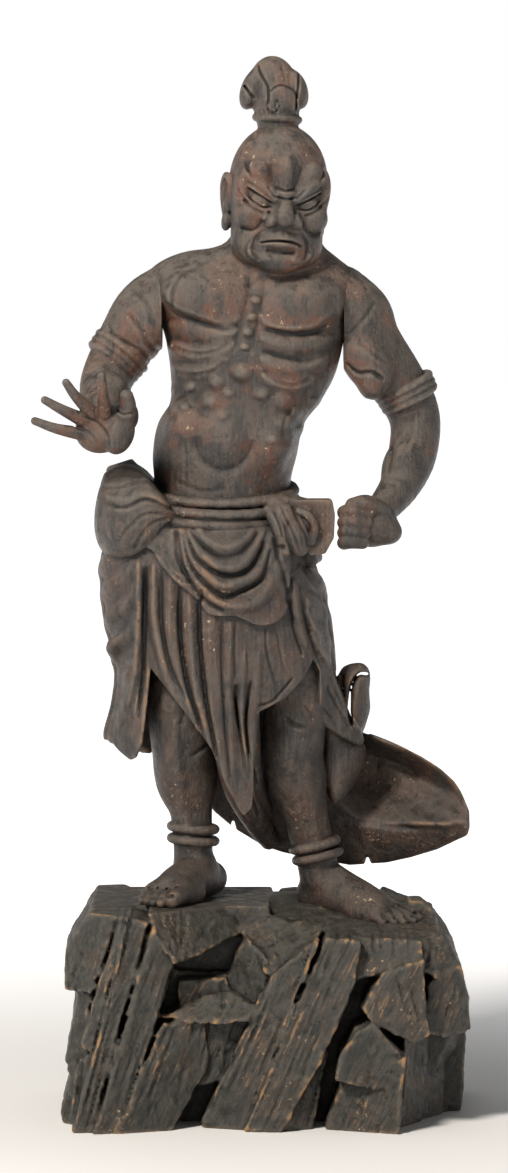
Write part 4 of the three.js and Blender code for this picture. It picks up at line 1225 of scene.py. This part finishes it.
# %% Rock plinth
PLINTH_TOP = 214
PLINTH_DEPTH = 296
PLINTH_CENTRE_Y = -8
ROCK_SLANT = 27
BLOCK_BACK = 30
ROCK_STEP = 1.6
ROCK_ROOM = ((-196, 220), (-158, 146), (-6, 222))
rock = Wood([np.arange(low, high, ROCK_STEP).astype(np.float32) for low, high in ROCK_ROOM])
LEAN = Matrix.Rotation(math.radians(ROCK_SLANT), 3, "Y")
ROCK_BLOCKS = [
    ([(-188, 134), (-184, 190), (-159, PLINTH_TOP), (-126, PLINTH_TOP), (-158, 134)], -114, -0.9, 0.05),
    ([(-176, 142), (-158, 142), (-162, 64), (-188, 60)], -92, -0.9, 0),
    ([(-182, 60), (-150, 80), (-158, 0), (-192, 0)], -100, -1.2, 0),
    ([(-133, PLINTH_TOP), (-120, PLINTH_TOP), (-150, 76), (-168, 84)], -137, -0.35, 0.03),
    ([(-124, PLINTH_TOP), (-102, 206), (-158, 0), (-178, 0)], -137, 0.1, 0),
    ([(-98, 203), (-77, 166), (-130, 0), (-158, 0)], -138, 0.25, 0),
    ([(-88, 106), (-48, 110), (-44, 62), (-79, 0), (-136, 0)], -124, 0.4, 0),
    ([(-104, PLINTH_TOP), (-29, PLINTH_TOP), (-4, 190), (-66, 167), (-79, 165)], -102, 0.9, 0.9),
    ([(-74, 144), (-26, 148), (-20, 120), (-74, 112)], -94, 0.1, 0),
    ([(-90, 111), (-28, 136), (6, 120), (-2, 108), (-50, 104)], -118, -0.1, 0.9),
    ([(-52, 108), (6, 116), (-22, 50), (-60, 40)], -104, 0.1, 0),
    ([(-30, 136), (-6, 188), (22, 160), (6, 118)], -96, -0.8, 0.1),
    ([(-28, 213), (25, 212), (82, 206), (36, 150), (14, 152)], -82, -0.3, 1.2),
    ([(16, 152), (68, 196), (-4, 0), (-52, 0)], -124, -0.35, 0.05),
    ([(76, 204), (108, 202), (100, 146), (68, 72), (28, 0), (-10, 0)], -134, -0.1, 0.06),
    ([(56, 76), (74, 76), (58, 0), (16, 0)], -120, 0.5, 0),
    ([(104, 202), (164, 200), (166, 160), (96, 147)], -118, -0.05, 0.4),
    ([(126, 158), (167, 168), (172, 96), (158, 88), (118, 107), (106, 122)], -134, 0.05, 0.12),
    ([(86, 76), (100, 102), (117, 108), (147, 74), (140, 44), (116, 41), (81, 54)], -143, 0.05, 0.05),
    ([(88, 50), (150, 77), (144, 0), (70, 0)], -136, -0.4, 0),
    ([(160, 196), (184, 205), (196, 200), (206, 158), (184, 148), (168, 154)], -94, 0.5, 0.4),
    ([(170, 141), (184, 151), (206, 160), (214, 136), (216, 96), (188, 88), (172, 94)], -102, 0.35, 0.05),
    ([(150, 92), (176, 96), (168, 0), (140, 0)], -86, 1.8, 0),
    ([(174, 96), (192, 94), (190, 0), (166, 0)], -40, 1.6, 0),
    ([(190, 98), (216, 98), (210, 0), (188, 0)], 2, 1.8, 0),
]


def leaning_block(corners, forward, turn, lean):
    rows = np.array(corners, float)
    middle = rows.mean(0)

    def distance(x, y, z):
        face = forward + turn * (x - middle[0]) + lean * (z - middle[1]) - y
        best = np.maximum(face / math.sqrt(1 + turn**2 + lean**2), y - BLOCK_BACK)
        for a, b in zip(rows, np.roll(rows, -1, 0)):
            run = b - a
            best = np.maximum(best, ((z - a[1]) * run[0] - (x - a[0]) * run[1]) / np.hypot(*run))
        return best

    low, high = rows.min(0), rows.max(0)
    return Shape([low[0], -156, low[1]], [high[0], BLOCK_BACK, high[1]], distance)


def crystal(x, y, z, radius, sides, turn):
    axes = []
    for i in range(sides):
        angle = math.radians(turn) + (i + 0.5) * 2 * math.pi / sides
        axes.append(LEAN @ Vector((math.cos(angle), math.sin(angle), 0)))
    up = LEAN @ Vector((0, 0, 1))
    inner = radius * math.cos(math.pi / sides)

    def distance(px, py, pz):
        dx, dy, dz = px - x, py - y, pz - z
        along = dx * up[0] + dy * up[1] + dz * up[2]
        best = along
        for a in axes:
            best = np.maximum(best, dx * a[0] + dy * a[1] + dz * a[2] - inner + along * 0.06)
        return best

    reach = radius * 1.7
    foot = 1.1 * z * math.tan(math.radians(ROCK_SLANT))
    return Shape([x - foot - reach, y - reach, -10], [x + reach, y + reach, z + radius * 0.6], distance)


def box(low, high):
    def distance(*place):
        x, y, z = (np.maximum(a - value, value - b) for value, a, b in zip(place, low, high))
        return np.maximum(np.maximum(x, y), z)

    return Shape(low, high, distance)


BACK_INSET = 3
FRONT, BACK = PLINTH_CENTRE_Y - PLINTH_DEPTH / 2, PLINTH_CENTRE_Y + PLINTH_DEPTH / 2
BACK_CRYSTALS, CRYSTAL_SPACING, CRYSTAL_RADIUS = 8, 48, 46
crystals = [(-130, 0, PLINTH_TOP, 54, 6, 20), (206, 6, 190, 56, 6, 12), (236, 40, 150, 54, 5, 30)]
for i in range(BACK_CRYSTALS):
    step = i % 2
    spot = -120 + i * CRYSTAL_SPACING, BACK - 44 - 8 * (i % 3), PLINTH_TOP - 6 - 16 * step - 2 * i
    crystals.append((*spot, CRYSTAL_RADIUS, 5 + step, 25 * i))
for low, high in (
    ((-160, -68, 0), (160, 108, 150)),
    ((-160, -56, 0), (20, 108, PLINTH_TOP)),
    ((19, -56, 0), (171, 68, PLINTH_TOP)),
):
    rock.add(box(low, high), 0)
for spot in crystals:
    rock.add(crystal(*spot), 0)
for row in ROCK_BLOCKS:
    rock.add(leaning_block(*row), 0)
LEDGE_AXES = turned((4, "Y"), (7, "X"))
LEDGE_CENTRE = (118, -44, PLINTH_TOP + 14)
LEDGE_HALF = (100, 150, 30)


def ledge_distance(*place):
    away = [value - middle for value, middle in zip(place, LEDGE_CENTRE)]
    u = [sum(away[n] * axis[n] for n in range(3)) for axis in LEDGE_AXES]
    u, v, w = (np.abs(share) - half for share, half in zip(u, LEDGE_HALF))
    return np.maximum(np.maximum(u, v), w)


rock.cut(Shape([5, -180, 170], [230, 110, 230], ledge_distance), 0)
rock.add(leaning_block([(150, 180), (156, PLINTH_TOP), (174, PLINTH_TOP), (186, 180)], -18, 0, 0.1), 0)
outline = slab([
    (-189, 0), (-190, 14), (-179, 50), (-186, 58), (-175, 130), (-186, 134), (-184, 178), (-160, PLINTH_TOP),
    (168, PLINTH_TOP), (179, 205), (184, 190), (198, 174), (206, 154), (213, 126), (214, 84), (209, 0),
], FRONT, BACK - BACK_INSET)
x, y, z = np.ix_(*rock.lines)
rock.field = box_blur(np.maximum(rock.field, outline.distance(x, y, z)), 1)

# %% [markdown]
# The flat faces alone would look like cut stone. Gouge grooves run lengthwise down each block, some short and
# some long, and three ripples of the hand, coarse to fine, go over everything but the top and the underside.
# The grooves are shallow, so the planes still read.

# %% Gouge work on the rock
GOUGE_WIDTHS, GOUGE_DEPTHS = (1.4, 4.5), (0.5, 2.0)
FEWEST_GOUGES, AREA_A_GOUGE = 4, 260
rng = np.random.default_rng(11)
gouges = Relief((-196, 222), (-4, 220), 0.8)
for corners, forward, turn, lean in ROCK_BLOCKS:
    rows = np.array(corners, float)
    rows = rows[np.argsort(rows[:, 1])]
    low, high = rows[:2], rows[-2:]
    low = low[np.argsort(low[:, 0])]
    high = high[np.argsort(high[:, 0])]
    wide = high[1, 0] - high[0, 0]
    tall = high[:, 1].mean() - low[:, 1].mean()
    for _ in range(int(FEWEST_GOUGES + wide * tall / AREA_A_GOUGE)):
        across = rng.uniform(0.04, 0.96)
        start, stop = np.sort(rng.uniform(-0.05, 1.05, 2))
        a = high[0] + (high[1] - high[0]) * across
        b = low[0] + (low[1] - low[0]) * across
        line = [a + (b - a) * t for t in (start, (start + stop) / 2, stop)]
        line[1] = line[1] + rng.uniform(-0.8, 0.8, 2)
        gouges.crease(line, rng.uniform(*GOUGE_WIDTHS), rng.uniform(*GOUGE_DEPTHS), 0.3)
rock.emboss(gouges, -96, -50)


def ripple(shape, cells, seed):
    coarse = np.random.default_rng(seed).uniform(-1, 1, [c + 3 for c in cells]).astype(np.float32)
    for axis, count in enumerate(shape):
        at = np.linspace(0, cells[axis] + 1, count)
        first = at.astype(int)
        share = (at - first).reshape([-1 if n == axis else 1 for n in range(3)]).astype(np.float32)
        share = share * share * (3 - 2 * share)
        a = np.take(coarse, first, axis)
        b = np.take(coarse, first + 1, axis)
        coarse = a + (b - a) * share
    return coarse


CALM_RIM, CALM_FADE = 3, 4
RIPPLES = (((24, 18, 12), 1.7, 3), ((56, 42, 30), 0.9, 4), ((120, 84, 60), 0.45, 5))
calm = np.minimum(z - CALM_RIM, PLINTH_TOP - CALM_RIM - z) / CALM_FADE
calm = np.clip(calm, 0, 1).astype(np.float32)
for cells, depth, seed in RIPPLES:
    rock.field += calm * depth * ripple(rock.field.shape, cells, seed)
print("rock carved:", rock.field.shape)

# %% [markdown]
# ## From the block to a piece
# A grid this fine gives far more faces than the shape needs. Decimate folds together the faces that lie
# nearly flat and keeps those at edges and folds, so the piece stays under its limit with its carving whole.
# Where grooves cross, crumbs of wood can come loose or small hollows close up inside. Each face takes the
# lowest number found across its edges until nothing changes, and only the largest connected shell is kept.

# %% Pieces
def largest_shell(points, faces):
    ends = np.sort(np.stack([faces, np.roll(faces, -1, 1)], 2).astype(np.int64), 2)
    edges = np.unique(ends[..., 0] * len(points) + ends[..., 1], return_inverse=True)[1].reshape(faces.shape)
    number = np.arange(len(faces))
    while True:
        at_edge = np.full(edges.max() + 1, len(faces))
        np.minimum.at(at_edge, edges.ravel(), np.repeat(number, faces.shape[1]))
        lowest = at_edge[edges].min(1)
        lowest = lowest[lowest]
        if (lowest == number).all():
            break
        number = lowest
    faces = faces[number == np.bincount(number).argmax()]
    kept = np.zeros(len(points), bool)
    kept[faces] = True
    return points[kept], (np.cumsum(kept) - 1)[faces]


FIGURE_TRIANGLES, ROCK_TRIANGLES, ARM_TRIANGLES = 190000, 190000, 60000


def carved_piece(name, wood, most_triangles, node):
    points, faces = largest_shell(*surface(wood))
    rough = mesh_object(name + "_rough", (points + SHIFT) / 1000, faces)
    thinner = rough.modifiers.new("thinner", "DECIMATE")
    thinner.ratio = min(1.0, most_triangles / (2 * len(faces)))
    thinner.use_collapse_triangulate = True
    bpy.context.view_layer.update()
    ready = bpy.data.meshes.new_from_object(rough.evaluated_get(bpy.context.evaluated_depsgraph_get()))
    ready.name = name
    piece = bpy.data.objects.new(name, ready)
    bpy.context.scene.collection.objects.link(piece)
    bpy.data.objects.remove(rough)
    ready.shade_smooth()
    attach(piece, "root")
    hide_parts(node)
    print(name, "faces on the grid:", len(faces), "triangles kept:", len(ready.polygons))
    return piece


carved_figure = carved_piece("carved_figure", figure, FIGURE_TRIANGLES, "figure")
carved_right_arm = carved_piece("carved_right_arm", right_arm, ARM_TRIANGLES, "right_arm")
carved_left_arm = carved_piece("carved_left_arm", left_arm, ARM_TRIANGLES, "left_arm")
carved_rock = carved_piece("carved_rock", rock, ROCK_TRIANGLES, "rock_plinth")

# %% [markdown]
# ## What a carver's surface shows
# Old lacquered wood is worn to bare wood on its edges, and its hollows and small creases are painted near
# black as shade. Both are a matter of how much wood is near a point: much more than half a ball round it in
# a hollow, much less at an edge. The distance grid already knows that, so each vertex keeps two numbers, a
# fine one for edges and small creases and a broad one for the deep folds, and the materials read them for
# the wear and the painted shade.

# %% Wear and painted shade from the grid
# edge feeds the worn bare wood and the painted shade in small creases; hollow feeds the painted shade in
# hollows
WEAR_AND_SHADE_RADII = {"edge": 3.0, "hollow": 9.0}


def sampled(field, lines, points):
    index = [np.interp(points[:, n], lines[n], np.arange(len(lines[n]))) for n in range(3)]
    base = [np.clip(i.astype(int), 0, len(lines[n]) - 2) for n, i in enumerate(index)]
    part = [i - b for i, b in zip(index, base)]
    value = 0
    for corner in range(8):
        steps = [(corner >> n) & 1 for n in range(3)]
        weight = np.prod([p if s else 1 - p for p, s in zip(part, steps)], axis=0)
        value = value + weight * field[tuple(b + s for b, s in zip(base, steps))]
    return value


def keep_wear_and_shade(piece, wood, step):
    co = np.zeros(len(piece.data.vertices) * 3, np.float32)
    piece.data.vertices.foreach_get("co", co)
    points = co.reshape(-1, 3) * 1000 - SHIFT
    for name, radius in WEAR_AND_SHADE_RADII.items():
        reach = max(1, round(radius / step))
        near = box_blur(np.clip(wood.field, -radius, radius), reach)
        values = sampled(near, wood.lines, points) / radius
        layer = piece.data.attributes.new(name, "FLOAT", "POINT")
        layer.data.foreach_set("value", values.astype(np.float32))
        print(piece.name, name, "from", round(float(values.min()), 2), "to", round(float(values.max()), 2))


for piece, wood, step in (
    (carved_figure, figure, FIGURE_STEP), (carved_right_arm, right_arm, ARM_STEP),
    (carved_left_arm, left_arm, ARM_STEP), (carved_rock, rock, ROCK_STEP),
):
    keep_wear_and_shade(piece, wood, step)

# %% [markdown]
# ## Colours and nodes
# Colours are written as sRGB hex values, the way they are read off a screen, and turned linear by one
# function, because Blender's shaders work with linear light. One more function adds a node with its inputs
# and settings and hands back its output, and every material is built with it.

# %% Node helper
def linear(hex_colour):
    channels = [int(hex_colour[i : i + 2], 16) / 255 for i in (1, 3, 5)]
    return [c / 12.92 if c <= 0.04045 else ((c + 0.055) / 1.055) ** 2.4 for c in channels] + [1.0]


def node(tree, kind, inputs, out=0, **settings):
    made = tree.nodes.new("ShaderNode" + kind)
    for key, value in settings.items():
        setattr(made, key, value)
    for key, value in inputs.items():
        if isinstance(value, bpy.types.NodeSocket):
            tree.links.new(value, made.inputs[key])
        else:
            made.inputs[key].default_value = linear(value) if isinstance(value, str) else value
    return made.outputs[out]


def new_material(name, ior, metallic):
    material = bpy.data.materials.new(name)
    material.use_nodes = True
    shader = material.node_tree.nodes["Principled BSDF"]
    shader.inputs["IOR"].default_value = ior
    shader.inputs["Metallic"].default_value = metallic
    return material, material.node_tree, shader


# %% [markdown]
# ## Aged lacquer on cypress
# The real finish is dark lacquer brushed over a clay ground on softwood, then centuries of dust and handling.
# Lacquer is a smooth coat with an index near 1.5, so it keeps a soft sheen on the swellings. It is redder
# where an older coat shows, grey where dust lies, bare and tan at the edges, and has pale flecks of the
# ground. The wood under it runs upright, with growth lines about 3 mm apart. The coats are laid on in a
# loop, each over the last, with its own mask; the last two are painted shade, near black in the hollows
# and in small creases.

# %% Finish of old coats
GRAIN_MM, STROKE_MM, PATCH_MM = 2.6, 15.6, 52.0
MOTTLE_MM, PIT_MM, FLECK_MM = 13.0, 2.6, 5.0
# near-black colour of the painted shade in hollows and small creases
PAINTED_SHADE_BLACK = "#0d0b09"
COAT_IOR = 1.5


def wood_finish(name, colours, slant, red_from, red_share, worn_share, scuff_share):
    material, tree, shader = new_material(name, COAT_IOR, 0.0)
    black, brown, grey, red, dust, bare, fleck = colours
    mask = dict(interpolation_type="SMOOTHSTEP")
    multiply = dict(operation="MULTIPLY")
    place = node(tree, "TexCoord", {}, "Object")
    leaned = node(tree, "Mapping", {"Vector": place, "Rotation": (0, slant, 0)})
    along = node(tree, "Mapping", {"Vector": leaned, "Scale": (1, 1, 0.06)})
    half_along = node(tree, "Mapping", {"Vector": leaned, "Scale": (1, 1, 0.4)})
    parts = {}
    for key, vector, size, detail, rough in (
        ("grain", along, GRAIN_MM, 5.0, 0.62),
        ("strokes", half_along, STROKE_MM, 8.0, 0.68),
        ("patches", place, PATCH_MM, 8.0, 0.62),
        ("mottle", place, MOTTLE_MM, 8.0, 0.72),
        ("pits", place, PIT_MM, 4.0, 0.6),
        ("flecks", place, FLECK_MM, 6.0, 0.75),
    ):
        settings = {"Vector": vector, "Scale": 1000 / size, "Detail": detail, "Roughness": rough}
        parts[key] = node(tree, "TexNoise", settings)
    parts["edge"] = node(tree, "Attribute", {}, "Fac", attribute_name="edge")
    parts["hollow"] = node(tree, "Attribute", {}, "Fac", attribute_name="hollow")
    parts["up"] = node(tree, "SeparateXYZ", {0: node(tree, "NewGeometry", {}, "Normal")}, "Z")
    parts["height"] = node(tree, "SeparateXYZ", {0: place}, "Z")
    shares = {}
    for key, source, start, stop, low, high in (
        ("brown", "strokes", 0.42, 0.58, 0.0, 1.0),
        ("streaks", "grain", 0.4, 0.64, 0.0, 0.15 + scuff_share),
        ("smoke", "mottle", 0.5, 0.6, 0.0, 0.8),
        ("red", "patches", 0.48, 0.58, 0.0, 1.0),
        ("red_grain", "mottle", 0.4, 0.54, 0.1, 1.0),
        ("red_height", "height", red_from - 0.12, red_from + 0.06, red_share * 0.35, red_share),
        ("lying", "up", -0.2, 0.8, 0.0, 0.6),
        ("dusty", "mottle", 0.4, 0.58, 0.2, 1.0),
        ("handled", "height", red_from - 0.14, red_from, 0.45, 1.0),
        ("swell", "edge", 0.0, 0.24, 0.0, 0.6),
        ("worn", "edge", 0.12, 0.3, 0.0, worn_share),
        ("rubbed", "strokes", 0.47, 0.55, 0.0, 1.0),
        ("scuffs", "grain", 0.56, 0.66, 0.0, scuff_share),
        ("scuffed", "patches", 0.5, 0.58, 0.0, 1.0),
        ("chips", "flecks", 0.61, 0.65, 0.0, 0.9),
        ("clumps", "patches", 0.53, 0.6, 0.0, 1.0),
        # painted shade: near black where the grid finds a hollow, and below it a small crease
        ("deep", "hollow", 0.02, -0.32, 0.0, 0.93),
        ("painted_crease_shade", "edge", -0.08, -0.32, 0.0, 0.85),
    ):
        ramp = {"Value": parts[source], "From Min": start, "From Max": stop, "To Min": low, "To Max": high}
        shares[key] = node(tree, "MapRange", ramp, **mask)
    for key, limit in (
        ("red", "red_grain"), ("red", "red_height"), ("lying", "dusty"), ("lying", "handled"),
        ("swell", "handled"), ("worn", "rubbed"), ("scuffs", "scuffed"), ("chips", "clumps"),
    ):
        shares[key] = node(tree, "Math", {0: shares[key], 1: shares[limit]}, **multiply)
    colour = black
    for coat, key in (
        (brown, "brown"), (grey, "streaks"), (black, "smoke"), (red, "red"), (dust, "swell"), (dust, "lying"),
        # the last two coats are painted shade, laid into hollows and small creases
        (bare, "scuffs"), (bare, "worn"), (fleck, "chips"), (PAINTED_SHADE_BLACK, "deep"), (PAINTED_SHADE_BLACK, "painted_crease_shade"),
    ):
        colour = node(tree, "Mix", {0: shares[key], 6: colour, 7: coat}, 2, data_type="RGBA")
    tree.links.new(colour, shader.inputs["Base Color"])
    sheen = {"Value": parts["mottle"], "From Min": 0.35, "From Max": 0.65, "To Min": 0.24, "To Max": 0.52}
    roughness = node(tree, "Mix", {0: shares["lying"], 2: node(tree, "MapRange", sheen), 3: 0.85})
    tree.links.new(roughness, shader.inputs["Roughness"])
    surface_normal = None
    for height, strength, depth in (
        (parts["grain"], 0.5, 0.0014), (parts["mottle"], 0.8, 0.004), (parts["pits"], 0.4, 0.0008),
        (shares["chips"], 0.4, 0.0008),
    ):
        relief = {"Height": height, "Strength": strength, "Distance": depth}
        if surface_normal is not None:
            relief["Normal"] = surface_normal
        surface_normal = node(tree, "Bump", relief)
    tree.links.new(surface_normal, shader.inputs["Normal"])
    return material


aged_lacquer = wood_finish(
    "aged_lacquer_on_cypress", ("#201d1b", "#453931", "#585048", "#5c3a2a", "#746c63", "#94714f", "#cdbb98"),
    0.0, 0.66, 0.8, 0.45, 0.22,
)
for piece in (carved_figure, carved_right_arm, carved_left_arm):
    piece.data.materials.append(aged_lacquer)

# %% [markdown]
# ## Painted rock
# The plinth had a dark green-grey paint, now rubbed off its ridges down to tan wood. The gouge strokes and
# the grain lie along the crystals, so the same finish is used with its grain leaned over, little red and
# more bare wood at the edges and along the grain.

# %% Painted rock wood
worn_paint = wood_finish(
    "worn_paint_on_cypress", ("#1e201d", "#2d2c27", "#4c483f", "#4d3a2b", "#56524a", "#9c7850", "#c9ad84"),
    math.radians(-ROCK_SLANT), -1.0, 0.3, 1.0, 0.5,
)
carved_rock.data.materials.append(worn_paint)

# %% [markdown]
# ## Studio
# The statue stands on a plain pale floor. One soft light stands at the viewer's upper left, as the shading on
# the chest shows, with weak ones from the right and from above. Further out the floor glows, and so does
# the world up to a little over the horizon, which gives a white background from every side and little light
# from above. The camera is five metres off with a long lens, looking slightly down, so that the plinth's far
# edge shows.

# %% Floor
FLOOR_RADIUS, GLOW_FROM, GLOW_TO = 60.0, 0.1, 2.2
FLOOR_SIDES = 64
turns = np.linspace(0, 2 * math.pi, FLOOR_SIDES + 1)[:-1]
rim = FLOOR_RADIUS * np.stack([np.cos(turns), np.sin(turns), turns * 0], 1)
studio_floor = mesh_object("studio_floor", rim, np.arange(FLOOR_SIDES)[None, :])
paper, tree, shader = new_material("studio_paper", COAT_IOR, 0.0)
shader.inputs["Base Color"].default_value = linear("#fbfaf8")
shader.inputs["Roughness"].default_value = 0.9
shader.inputs["Emission Color"].default_value = linear("#ffffff")
away = node(tree, "VectorMath", {0: node(tree, "TexCoord", {}, "Object")}, "Value", operation="LENGTH")
glow = {"Value": away, "From Min": GLOW_FROM, "From Max": GLOW_TO, "To Max": 1.0}
glow = node(tree, "MapRange", glow, interpolation_type="SMOOTHSTEP")
tree.links.new(glow, shader.inputs["Emission Strength"])
studio_floor.data.materials.append(paper)


# %% Lights and world
def soft_light(name, location, aim, size, power, colour):
    lamp = bpy.data.lights.new(name, "AREA")
    lamp.size = size
    lamp.energy = power
    lamp.color = linear(colour)[:3]
    made = bpy.data.objects.new(name, lamp)
    made.location = location
    made.rotation_euler = (Vector(aim) - Vector(location)).to_track_quat("-Z", "Y").to_euler()
    bpy.context.scene.collection.objects.link(made)


soft_light("key", (-1.5, -2.6, 3.0), (0, 0, 0.65), 0.7, 172, "#fff8f0")
soft_light("fill", (2.6, -2.6, 1.0), (0, 0, 0.5), 1.8, 2, "#eef3ff")
soft_light("top", (0.1, 0.5, 2.9), (0, 0.1, 0.6), 1.4, 8, "#ffffff")
world = bpy.data.worlds.new("studio")
bpy.context.scene.world = world
world.use_nodes = True
tree = world.node_tree
up = node(tree, "SeparateXYZ", {0: node(tree, "TexCoord", {}, "Generated")}, "Z")
sky = {"Value": up, "From Min": 0.08, "From Max": 0.2, "To Min": 1.0, "To Max": 0.1}
sky = node(tree, "MapRange", sky, interpolation_type="SMOOTHSTEP")
tree.links.new(sky, tree.nodes["Background"].inputs["Strength"])
tree.nodes["Background"].inputs["Color"].default_value = linear("#ffffff")
bpy.context.scene.view_settings.view_transform = "Standard"

# %% Camera
EYE_DISTANCE, LOOK_DOWN = 5.0, 3.22
SENSOR_MM = 36.0
VIEW_HEIGHT = 1.173
aim = Vector((0.001, 0.008, 0.5275))
down = math.radians(LOOK_DOWN)
camera = bpy.data.objects.new("camera", bpy.data.cameras.new("camera"))
bpy.context.scene.collection.objects.link(camera)
camera.location = aim + EYE_DISTANCE * Vector((0, -math.cos(down), math.sin(down)))
camera.rotation_euler = (aim - camera.location).to_track_quat("-Z", "Y").to_euler()
camera.data.sensor_width = SENSOR_MM
camera.data.lens = SENSOR_MM * EYE_DISTANCE / VIEW_HEIGHT
camera.data.clip_end = 10 * EYE_DISTANCE
bpy.context.scene.camera = camera
print("lens in mm:", round(camera.data.lens, 1))
